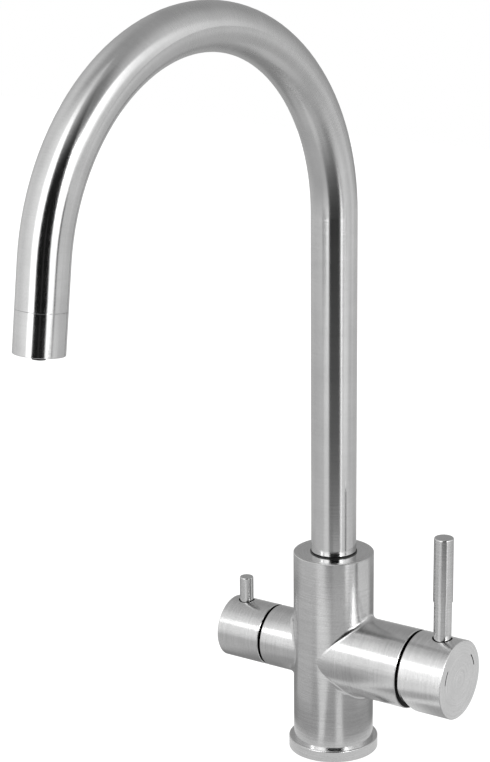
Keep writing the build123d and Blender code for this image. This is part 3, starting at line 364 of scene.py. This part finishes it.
# %% Handles
SKIN = 0.3 * MM            # what lies deeper than this below the barrel's skin is a recess
EDGE = 0.8 * MM            # bevelled edge of a front face
MARK_TOP = 0.03 * MM       # an engraved stroke lies this far below the front face
MARK_REACH = 20 * MM       # and within this distance of the barrel's axis
MIXER_TONE, MIXER_GLOSS = 0.72, 0.25

barrel_z = middle("filter_handle").z


def barrel_radius(name):
    """Radius of a piece that lies along X, from its depth."""
    low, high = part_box(name)
    return (high.y - low.y) / 2


def dress_handle(name, side, marked, tone, gloss):
    """Brush a handle that stands out to +X or -X, with or without strokes on its front."""
    finish, shader, place = new_finish("brushed_" + name)
    x, y, z = place.parts()
    low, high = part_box(name)
    front = high.x if side > 0 else -low.x
    out = x * side
    ring = radius(y, z - barrel_z)
    # Painted shade in the well, the cup and the face across the gap; the strokes below are real dark
    # enamel.
    recess = ring.below(barrel_radius(name) - SKIN) * out.below(front - EDGE)
    if marked:
        stroke = out.below(front - MARK_TOP) * ring.below(MARK_REACH)
        recess = place.maths("MAXIMUM", recess, stroke)
    lines = scratches(out + ring, y, z)
    brushed_steel(shader, place, lines, recess=recess, tone=tone, gloss=gloss)
    wear([name], finish)


dress_handle("mixer_handle", 1, marked=True, tone=MIXER_TONE, gloss=MIXER_GLOSS)
dress_handle("filter_handle", -1, marked=False, tone=STEEL_TONE, gloss=STEEL_GLOSS)

# %% [markdown]
# The body is a stout upright cylinder with a barrel brazed in on each side. The column is brushed
# round its upright axis and the barrels round their level one, and the two sets of lines meet in the
# fillet. The top face is satin at its rim and polished where the neck turns on it. The ends of the
# barrels lie in the gaps behind the handles, and there they get painted shade.

# %% Body
CREASE = 3 * MM            # the brushing changes direction over this distance
END_SKIN = 0.6 * MM        # the end of a barrel, measured along it
RIM = 0.5 * MM             # edge left undarkened round the painted shade on the end of a barrel
TOP_SKIN = 0.2 * MM
TOP_RIM = (0.8, 0.95)      # the top turns satin between these shares of its radius
TOP_SATIN, TOP_POLISH = 1.2, 0.4

body_steel, shader, place = new_finish("brushed_body")
x, y, z = place.parts()
low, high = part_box("body_casting")
column = radius(x, y)
ring = radius(y, z - barrel_z)
on_barrel = column.step(high.y, high.y + CREASE)
round_column = scratches(z + column, x, y)
round_barrel = scratches(x + ring, y, z)
lines = round_column + on_barrel * (round_barrel - round_column)
# Painted shade on the ends of the barrels, inside the gaps behind the handles.
mixer_end = x.above(high.x - END_SKIN) * ring.below(barrel_radius("mixer_handle") - RIM)
filter_end = x.below(low.x + END_SKIN) * ring.below(barrel_radius("filter_handle") - RIM)
recess = place.maths("MAXIMUM", mixer_end, filter_end)
on_top = z.above(high.z - TOP_SKIN)
at_rim = column.step(*[share * high.y for share in TOP_RIM])
satin = on_top * (at_rim * TOP_SATIN - TOP_POLISH)
brushed_steel(shader, place, lines, recess=recess, satin=satin)
wear(["body_casting"], body_steel)

# %% [markdown]
# Inside and under the worktop the faucet is made of plainer stuff. The record names each node's
# material, so the pieces can be gathered from it. Turned brass first: warm, a little uneven in colour
# from handling, with tool lines round its axis. A piece in line with the barrels was turned about the
# level axis and the others about the upright one.

# %% Turned brass and plain steel
TOOL_LINES = 1400.0        # in a metre along the axis
TOOL_DEPTH = 0.02 * MM
STAINS = {"scale": 55.0, "detail": 5.0, "roughness": 0.6}
STAIN_EDGE = (0.35, 0.7)   # the noise turns from fresh to dull between these values
STAIN_TONE, TOOL_TONE = 0.8, 0.2
STAIN_ROUGH, TOOL_ROUGH = 0.18, 0.06
METALS = {                 # fresh colour, dull colour, roughness
    "fixing_brass": ((0.83, 0.62, 0.33, 1), (0.62, 0.43, 0.2, 1), 0.18),
    "plain_steel": ((0.68, 0.69, 0.7, 1), (0.5, 0.49, 0.46, 1), 0.2),
}

pieces_of = {}
for part in frame["record"]["subparts"]:
    pieces_of.setdefault(part["material_slot"], []).append(part["node"])


def lies_level(name):
    """True for a piece in line with the side barrels."""
    return abs(middle(name).z - barrel_z) < 1 * MM


def turned_metal(name, lying, fresh, dull, gloss):
    """Bare metal with tool lines round its axis, and patches from fresh to dull."""
    finish, shader, place = new_finish(name)
    x, y, z = place.parts()
    along = x + radius(y, z - barrel_z) if lying else z + radius(x, y)
    tool = along.noise(along.vector(along * TOOL_LINES, x * DRAG, y * DRAG), 1.0)
    stain = place.noise(place, **STAINS)
    shade = stain.step(*STAIN_EDGE) * STAIN_TONE + tool * TOOL_TONE
    shade.mixed(fresh, dull).feed(shader, "Base Color")
    (gloss + stain * STAIN_ROUGH + tool * TOOL_ROUGH).feed(shader, "Roughness")
    tool.emboss(shader, TOOL_DEPTH)
    shader.inputs["Metallic"].default_value = 1.0
    return finish


for slot, (fresh, dull, gloss) in METALS.items():
    for lying in (False, True):
        names = [name for name in pieces_of[slot] if lies_level(name) == lying]
        finish = turned_metal(slot + ("_level" if lying else "_upright"), lying, fresh, dull, gloss)
        wear(names, finish)

# %% [markdown]
# Rubber, nylon, plastic and ceramic are all moulded or pressed and so have no tool lines. What tells
# them apart is how they take the light: rubber is dull, with a bloom of pale dust; nylon is dark and
# satin; the cartridge's plastic is pale with a fine mould grain; and the ceramic discs are lapped
# until they are smooth as glass, with faint specks in them.

# %% Moulded pieces
PATCH_NOISE = {"detail": 4.0, "roughness": 0.6}
PATCH_EDGE = (0.4, 0.75)   # the noise turns from the first colour to the second between these
PATCH_ROUGH = (0.85, 0.3)  # roughness of the first colour, and what a patch adds, as shares of it
SKIN_ROUGH = 0.05


def grey(value):
    """A neutral colour."""
    return (value, value, value, 1.0)


def moulded(name, first, second, patches, gloss, grain, grain_depth):
    """A material of two close colours in patches, with a fine grain in its skin."""
    finish, shader, place = new_finish(name)
    patch = place.noise(place, patches, **PATCH_NOISE)
    skin = place.noise(place, grain)
    patch.step(*PATCH_EDGE).mixed(first, second).feed(shader, "Base Color")
    even, uneven = PATCH_ROUGH
    (gloss * (even + patch * uneven) + skin * SKIN_ROUGH).feed(shader, "Roughness")
    skin.emboss(shader, grain_depth)
    wear(pieces_of[name], finish)


moulded(
    "black_rubber", grey(0.012), grey(0.035),
    patches=90.0, gloss=0.6, grain=4200.0, grain_depth=0.02 * MM,
)
moulded(
    "black_nylon", grey(0.01), grey(0.018),
    patches=160.0, gloss=0.36, grain=2600.0, grain_depth=0.012 * MM,
)
moulded(
    "pale_plastic", (0.8, 0.78, 0.72, 1), (0.72, 0.69, 0.62, 1),
    patches=60.0, gloss=0.42, grain=3200.0, grain_depth=0.01 * MM,
)
moulded(
    "white_ceramic", (0.88, 0.88, 0.86, 1), (0.8, 0.8, 0.79, 1),
    patches=900.0, gloss=0.1, grain=1500.0, grain_depth=0.002 * MM,
)

# %% [markdown]
# The fixing shank is a brass pipe with a fine thread that the clamping nut runs on. The frame holds
# it as a plain pipe. Bump could fake a thread, but its outline would stay straight, so it is cut for
# real: rows of points follow the helix, four to a turn, at the crest and the root. The last row of
# one turn is the first of the next, so the helix closes on itself with no seam.

# %% Thread on the fixing shank
THREAD_PITCH = 2.0 * MM
THREAD_DEPTH = 1.1 * MM
THREAD_FORM = ((0.0, 0.0), (0.14, 0.0), (0.5, 1.0), (0.64, 1.0))    # shares of pitch and depth
THREAD_END = -3.0 * MM     # the thread runs out here, below the base
RUN_OUT = 3.0 * MM
LEAD_IN = 1.2 * MM         # bevel at the lower end
SPARE_TURNS = 2            # at each end, to be trimmed off
SIDES = 96

low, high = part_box("fixing_shank")
shank_radius = high.x
shank_turns = ceil((high.z - low.z) / THREAD_PITCH)
turns = range(-SPARE_TURNS, shank_turns + SPARE_TURNS)
rows = [(turn + share, depth) for turn in turns for share, depth in THREAD_FORM]


def thread_point(row, side):
    """A point of the helix; the thread fades out at its upper end and is bevelled at its lower one."""
    share, depth = rows[row]
    height = low.z + THREAD_PITCH * (share + side / SIDES)
    fade = min(max((THREAD_END - height) / RUN_OUT, 0), 1)
    bevel = max(LEAD_IN - (height - low.z), 0)
    reach = shank_radius - max(THREAD_DEPTH * depth * fade, bevel)
    spin = 2 * pi * side / SIDES
    return (reach * cos(spin), reach * sin(spin), height)


form = bmesh.new()
grid = [[form.verts.new(thread_point(row, side)) for side in range(SIDES)] for row in range(len(rows))]
for row in range(len(rows) - len(THREAD_FORM) - 1):
    for side in range(SIDES):
        wraps = side + 1 == SIDES
        ahead = row + len(THREAD_FORM) if wraps else row
        beside = 0 if wraps else side + 1
        quad = (grid[row][side], grid[ahead][beside], grid[ahead + 1][beside], grid[row + 1][side])
        form.faces.new(quad)
print("thread with", shank_turns, "turns and", len(form.faces), "faces")

# %% [markdown]
# The helix runs past both ends of the pipe, so a plane trims it there. Each trimmed rim is then joined
# to a circle on the bore, and the two circles to each other, which closes the pipe without a modifier.
# Edges sharper than a thread's flank stay crisp, and everything else is shaded smooth.

# %% Ends and bore of the shank
NEAR_END = 0.3 * MM
CRISP = radians(20)

for end, outward in ((low.z, -1), (high.z, 1)):
    geometry = form.verts[:] + form.edges[:] + form.faces[:]
    cut = {"plane_co": (0, 0, end), "plane_no": (0, 0, outward), "clear_outer": True}
    bmesh.ops.bisect_plane(form, geom=geometry, **cut)

bore = min(hypot(v.co.x, v.co.y) for v in nodes["fixing_shank"].data.vertices)
spins = [2 * pi * side / SIDES for side in range(SIDES)]
rims = [edge for edge in form.edges if edge.is_boundary]
bore_rims = []
for end in (low.z, high.z):
    circle = [form.verts.new((bore * cos(spin), bore * sin(spin), end)) for spin in spins]
    loop = [form.edges.new((circle[side - 1], circle[side])) for side in range(SIDES)]
    rim = [edge for edge in rims if abs(edge.verts[0].co.z - end) < NEAR_END]
    bmesh.ops.bridge_loops(form, edges=rim + loop)
    bore_rims.extend(loop)
bmesh.ops.bridge_loops(form, edges=bore_rims)
bmesh.ops.recalc_face_normals(form, faces=form.faces[:])

shank_mesh = bpy.data.meshes.new("threaded_shank")
form.to_mesh(shank_mesh)
form.free()
shank_mesh.polygons.foreach_set("use_smooth", [True] * len(shank_mesh.polygons))
shank_mesh.set_sharp_from_angle(angle=CRISP)
shank_mesh.materials.append(bpy.data.materials["fixing_brass_upright"])
shank = bpy.data.objects.new("threaded_shank", shank_mesh)
bpy.context.scene.collection.objects.link(shank)
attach(shank, "base")
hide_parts("fixing_shank")
print("threaded shank with", len(shank_mesh.polygons), "faces, bore", round(bore / MM, 2), "mm")

# %% [markdown]
# Light for polished metal is mostly a matter of what the metal can see. The studio is a light tent:
# pale walls, a tall white panel to the left of the lens that lights up the wall beside it, a large
# round lamp to the right, and between them the dark slit that the lens looks through. It could be
# built from cards and lamps, but a world shader that depends on direction does the same with no
# object in the way. The walls come first. A span gives where a patch starts and ends and how wide its
# soft edges are; a fade, an edge or a top gives where a change starts and ends. All are in degrees.

# %% Walls of the light tent
BACK_WALL, LEFT_WALL, RIGHT_WALL, ROOF = 0.4, 0.84, 0.7, 0.43
LEFT_WALL_SPAN = (-120, -10, 60)
RIGHT_WALL_SPAN = (10, 95, 60)
ROOF_FADE = (38, 75)
DEGREES = 180 / pi         # in a radian

world = bpy.data.worlds.new("light_tent")
bpy.context.scene.world = world
world.use_nodes = True
world.node_tree.nodes.clear()
direction = Wire(world.node_tree).node("ShaderNodeTexCoord", output="Generated")


def bearing_from_lens(x, y):
    """Degrees round the upright axis, 0 towards the lens and more to its right."""
    ahead = x * sin(LENS_AZIMUTH) - y * cos(LENS_AZIMUTH)
    aside = x * cos(LENS_AZIMUTH) + y * sin(LENS_AZIMUTH)
    return x.maths("ARCTAN2", aside, ahead) * DEGREES


def laid(under, tone, mask):
    """Lay a tone over what is under it, where the mask is 1."""
    return under + mask * (tone - under)


x, y, z = direction.parts()
bearing = bearing_from_lens(x, y)
height = z.maths("ARCSINE", z) * DEGREES
tent_tone = laid(BACK_WALL, LEFT_WALL, bearing.within(*LEFT_WALL_SPAN))
tent_tone = laid(tent_tone, RIGHT_WALL, bearing.within(*RIGHT_WALL_SPAN))
tent_tone = laid(tent_tone, ROOF, height.step(*ROOF_FADE))
print("walls from", BACK_WALL, "at the back to", LEFT_WALL, "at the left")

# %% [markdown]
# The lamps are laid over the walls, each as a shape in degrees of bearing and height. The panel is an
# upright strip with soft ends, and its glow spreads over the wall. The round lamp is an oval, paler
# towards its far side, with a short, very bright edge where its tube shows; that edge makes the crisp
# line on the neck's shoulder. The wall above the lamp is in shade.

# %% Lamps
PANEL, PANEL_GLOW, ROUND, ROUND_RIM, ROUND_EDGE = 2.2, 1.1, 2.0, 1.1, 7.0
ABOVE_LAMP = 0.28
ABOVE_SPAN, ABOVE_HEIGHTS = (0, 42, 30), (38, 64, 10)
GLOW_SPAN, GLOW_LOSS = (-58, -20, 50), 0.5     # half of the glow is lost towards the roof
PANEL_LEFT, PANEL_RIGHT, PANEL_TOP = (-54, -46.5), (-27.5, -23.5), (36, 84)
PANEL_LEAN = 0.15          # degrees that its right edge leans for each degree of height
ROUND_BEARING, ROUND_HEIGHT = 67, 5
ROUND_WIDE, ROUND_TALL = 39, 31                # half of the oval's axes
ROUND_FADE, ROUND_RIM_FADE = (0.94, 1.06), (60, 92)
ROUND_EDGE_SPAN, ROUND_EDGE_HEIGHTS = (35, 40, 2), (10, 26, 4)

above_lamp = bearing.within(*ABOVE_SPAN) * height.within(*ABOVE_HEIGHTS)
tent_tone = laid(tent_tone, ABOVE_LAMP, above_lamp)
glow = bearing.within(*GLOW_SPAN) * (1 - height.step(*ROOF_FADE) * GLOW_LOSS)
tent_tone = laid(tent_tone, PANEL_GLOW, glow)
beside_panel = (bearing - height * PANEL_LEAN).step(*PANEL_RIGHT)
panel = bearing.step(*PANEL_LEFT) * (1 - beside_panel) * height.until(*PANEL_TOP)
tent_tone = laid(tent_tone, PANEL, panel)
across = (bearing - ROUND_BEARING) / ROUND_WIDE
upward = (height - ROUND_HEIGHT) / ROUND_TALL
lamp_tone = ROUND - bearing.step(*ROUND_RIM_FADE) * (ROUND - ROUND_RIM)
tent_tone = laid(tent_tone, lamp_tone, radius(across, upward).until(*ROUND_FADE))
lamp_edge = bearing.within(*ROUND_EDGE_SPAN) * height.within(*ROUND_EDGE_HEIGHTS)
tent_tone = laid(tent_tone, ROUND_EDGE, lamp_edge)
print("panel of", PANEL, "and round lamp of", ROUND, "with an edge of", ROUND_EDGE)

# %% [markdown]
# A board stands in front of the round lamp's lower half, and its near edge shows as a fine dark line
# on the spout. Two black curtains make the slit beside the panel, and the narrow gap between them
# shows as a thin line in the black. The lens itself sees plain white instead of the tent: the Light
# Path node tells its rays from those that come off the steel.

# %% Board, slit and world
LOW_WALL, BOARD, BOARD_EDGE = 0.58, 0.75, 0.06
LOW_WALL_SPAN, LOW_WALL_TOP = (60, 130, 10), (-9, 2)
BOARD_SPAN, BOARD_TOP = (60, 93, 3), (4, 16)
BOARD_EDGE_SPAN, BOARD_EDGE_TOP = (57.5, 63, 1.5), (1, 6)
SLIT, SLIT_RIGHT, SLIT_TOP = 0.004, (26.5, 30.5), (30, 76)
CURTAIN_GAP, GAP_SPAN, GAP_TOP = 0.06, (1.5, 3.5, 1), (10, 25)

for tone, span, top in (
    (LOW_WALL, LOW_WALL_SPAN, LOW_WALL_TOP),
    (BOARD, BOARD_SPAN, BOARD_TOP),
    (BOARD_EDGE, BOARD_EDGE_SPAN, BOARD_EDGE_TOP),
):
    tent_tone = laid(tent_tone, tone, bearing.within(*span) * height.until(*top))
slit = beside_panel * bearing.until(*SLIT_RIGHT) * height.until(*SLIT_TOP)
tent_tone = laid(tent_tone, SLIT, slit)
tent_tone = laid(tent_tone, CURTAIN_GAP, bearing.within(*GAP_SPAN) * height.until(*GAP_TOP))

tent_light = {"Color": tent_tone.neutral(), "Strength": 1.0}
tent = direction.node("ShaderNodeBackground", None, tent_light)
white = direction.node("ShaderNodeBackground", None, {"Color": grey(1.0), "Strength": 1.0})
to_lens = direction.node("ShaderNodeLightPath", output="Is Camera Ray")
direction.node("ShaderNodeOutputWorld", None, {"Surface": to_lens.surface(tent, white)})
bpy.context.scene.view_settings.view_transform = "Standard"
print("light tent with", len(world.node_tree.nodes), "nodes")

# %% [markdown]
# One lamp is a real one: a small softbox to the left, close to the floor. A world shader shows the
# same light to every piece, but this lamp is meant for the barrels alone, where it draws a bright
# band. A honeycomb in front of it, which Blender calls the spread, keeps its light on them and off
# the neck.

# %% Softbox on the barrels
SOFTBOX_BEARING, SOFTBOX_HEIGHT = radians(-63), radians(28)
SOFTBOX_AWAY = 0.8
SOFTBOX_WIDE, SOFTBOX_TALL = 0.14, 0.18
SOFTBOX_WATTS = 0.0065
HONEYCOMB = radians(20)

softbox_light = bpy.data.lights.new("softbox", "AREA")
softbox_light.shape = "RECTANGLE"
softbox_light.size, softbox_light.size_y = SOFTBOX_WIDE, SOFTBOX_TALL
softbox_light.energy = SOFTBOX_WATTS
softbox_light.spread = HONEYCOMB
softbox = bpy.data.objects.new("softbox", softbox_light)
away = towards(LENS_AZIMUTH + SOFTBOX_BEARING, SOFTBOX_HEIGHT)
stand = Matrix.Translation(Vector((0, 0, barrel_z)) + away * SOFTBOX_AWAY)
softbox.matrix_world = stand @ away.to_track_quat("Z", "Y").to_matrix().to_4x4()
softbox.visible_camera = False
bpy.context.scene.collection.objects.link(softbox)
print("softbox at", [round(v, 2) for v in stand.translation])

# %% [markdown]
# The pale floor is the worktop: it lies just under the base ring, so the shank and its nut are below
# it, as in a kitchen. In the steel it shows as a smooth pale table of painted light and shade,
# brightest at the foot of the faucet, that falls off into painted shade towards the lens. Painted
# shadow lies a little way out from the faucet and behind it. Its tones are laid over each other as
# those of the tent are, by the bearing and by the reach from the faucet's axis, in metres. The dark
# part's right edge leans a little, and a long pale ray of painted light lies beside it.

# %% The pale floor
FLOOR_HALF = 1.7           # half its width, in metres
FLOOR_DROP = 0.3 * MM
# Painted shadow near the faucet and behind it, on a table of painted light.
NEAR_SHADOW_TONE, TABLE_TONE, FAR_TONE, BACK_SHADOW_TONE = 0.42, 0.52, 0.435, 0.3
TABLE_FADE, FAR_FADE, BACK_FADE = (0.09, 0.18), (0.35, 0.6), (0.25, 0.45)
NOT_FAR_SPAN = (100, 150, 10)                  # here the table's tone goes on
FRONT_HALF = (-95, 95, 30)
DARK_FROM, DARK_POWER = 0.25, 1.3              # painted shade: towards the lens, the table falls off from here
DARK_LEFT, DARK_RIGHT = (-29, -24), (24, 42)
DARK_LEAN = 14             # degrees in a metre
LONG_RAY, RAY_SPAN, RAY_REACH = 0.6, (44, 56, 14), (0.6, 0.95, 0.15)

floor_mesh = bpy.data.meshes.new("pale_floor")
signs = ((-1, -1), (1, -1), (1, 1), (-1, 1))
corners = [(a * FLOOR_HALF, b * FLOOR_HALF, 0) for a, b in signs]
floor_mesh.from_pydata(corners, [], [(0, 1, 2, 3)])
floor = bpy.data.objects.new("pale_floor", floor_mesh)
floor.location.z = -FLOOR_DROP
bpy.context.scene.collection.objects.link(floor)
floor_finish, glossy, place = new_finish("pale_floor")
x, y = place.parts()[:2]
bearing = bearing_from_lens(x, y)
reach = radius(x, y)

# Painted shadow a little way out from the faucet, then the table's painted light further off.
table_light_and_shade = laid(NEAR_SHADOW_TONE, TABLE_TONE, reach.step(*TABLE_FADE))
far = reach.step(*FAR_FADE) * (1 - bearing.within(*NOT_FAR_SPAN))
table_light_and_shade = laid(table_light_and_shade, FAR_TONE, far)
# Painted shade: towards the lens the table falls off into the dark.
falloff = place.maths("MINIMUM", (DARK_FROM / reach) ** DARK_POWER, 1.0)
slant = bearing - reach * DARK_LEAN
dark = bearing.step(*DARK_LEFT) * slant.until(*DARK_RIGHT)
table_light_and_shade = table_light_and_shade * (1 - dark * (1 - falloff))
# A long ray of painted light beside the painted shade.
table_light_and_shade = laid(table_light_and_shade, LONG_RAY, slant.within(*RAY_SPAN) * reach.within(*RAY_REACH))
# Painted shadow behind the faucet.
behind = (1 - bearing.within(*FRONT_HALF)) * reach.until(*BACK_FADE)
table_light_and_shade = laid(table_light_and_shade, BACK_SHADOW_TONE, behind)
print("floor", 2 * FLOOR_HALF, "m wide")

# %% [markdown]
# Pools of the lamps' light are painted on the table, and the steel shows these pale spots: one on each
# side, one in front, and two streaks that start at the foot. The left streak opens like a fan.

# %% Painted light on the table
LIGHT_SPOTS = {                  # tone, span of bearing, span of reach
    "left": (0.6, (-112, -66, 14), (0.11, 0.24, 0.04)),
    "right": (0.72, (72, 112, 15), (0.13, 0.3, 0.05)),
    "front": (0.6, (0, 24, 6), (0.2, 0.33, 0.05)),
    "right streak": (0.88, (9, 18, 7), (0.04, 0.12, 0.03)),
}
FAN_TONE, FAN_BEARING, FAN_REACH = 0.9, -29, (0.05, 0.26, 0.03)
FAN_NARROW, FAN_OPENS, FAN_OPENING = 7, 12, (0.06, 0.18)    # half its width, what it gains, and where
FAN_EDGE = (0.6, 1.3)
FOOT_LIGHT_TONE, FOOT_FADE = 0.75, (0.038, 0.055)

# Painted pools of light from the lamps, then the painted streak that opens like a fan.
for tone, span, distance in LIGHT_SPOTS.values():
    table_light_and_shade = laid(table_light_and_shade, tone, bearing.within(*span) * reach.within(*distance))
from_fan = place.maths("ABSOLUTE", bearing - FAN_BEARING)
fan = from_fan / (FAN_NARROW + FAN_OPENS * reach.step(*FAN_OPENING))
table_light_and_shade = laid(table_light_and_shade, FAN_TONE, fan.until(*FAN_EDGE) * reach.within(*FAN_REACH))
# Painted light at the foot of the faucet.
table_light_and_shade = laid(table_light_and_shade, FOOT_LIGHT_TONE, reach.until(*FOOT_FADE))
print("light on the table:", ", ".join(LIGHT_SPOTS), "and a fan")

# %% [markdown]
# Near the faucet the table is matt, and further off it is smooth, so that it mirrors the lamps at a
# low angle, except far out in front of the panel. Both parts glow with the table's painted light and
# shade. To the lens it is plain white paper with a breath of shadow. Seen from below it is clear, so
# that the fixing can be looked at.

# %% What is seen of the floor
TABLE_GLOSS = 0.2
SMOOTH_FADE = (0.2, 0.35)
PANEL_FOOT_SPAN, PANEL_FOOT_FADE = (-58, -42, 5), (1.0, 1.2)
PAPER_TONE, PAPER_GLOW = 0.25, 0.96

# The table's painted light and shade glows as emission, in both its matt and its smooth part.
table_colour = table_light_and_shade.neutral()
table_colour.feed(glossy, "Emission Color")
glossy.inputs["Emission Strength"].default_value = 1.0
glossy.inputs["Base Color"].default_value = grey(0.0)
glossy.inputs["Roughness"].default_value = TABLE_GLOSS
matt_glow = {
    "Base Color": grey(0.0),
    "Roughness": 1.0,
    "Specular IOR Level": 0.0,
    "Emission Color": table_colour,
    "Emission Strength": 1.0,
}
matt = place.node("ShaderNodeBsdfPrincipled", None, matt_glow)
panel_foot = bearing.within(*PANEL_FOOT_SPAN) * reach.step(*PANEL_FOOT_FADE)
smooth = reach.step(*SMOOTH_FADE) * (1 - panel_foot)
table = smooth.surface(matt, Wire(place.tree, glossy.outputs[0]))
white_paper = {
    "Base Color": grey(PAPER_TONE),
    "Roughness": 1.0,
    "Emission Color": grey(1.0),
    "Emission Strength": PAPER_GLOW,
}
paper = place.node("ShaderNodeBsdfPrincipled", None, white_paper)
to_lens = place.node("ShaderNodeLightPath", output="Is Camera Ray")
from_below = place.node("ShaderNodeNewGeometry", output="Backfacing")
clear = place.node("ShaderNodeBsdfTransparent")
floor_surface = from_below.surface(to_lens.surface(table, paper), clear)
floor_surface.feed(floor_finish.node_tree.nodes["Material Output"], "Surface")
floor_mesh.materials.append(floor_finish)
print("floor finish with", len(floor_finish.node_tree.nodes), "nodes")

# %% [markdown]
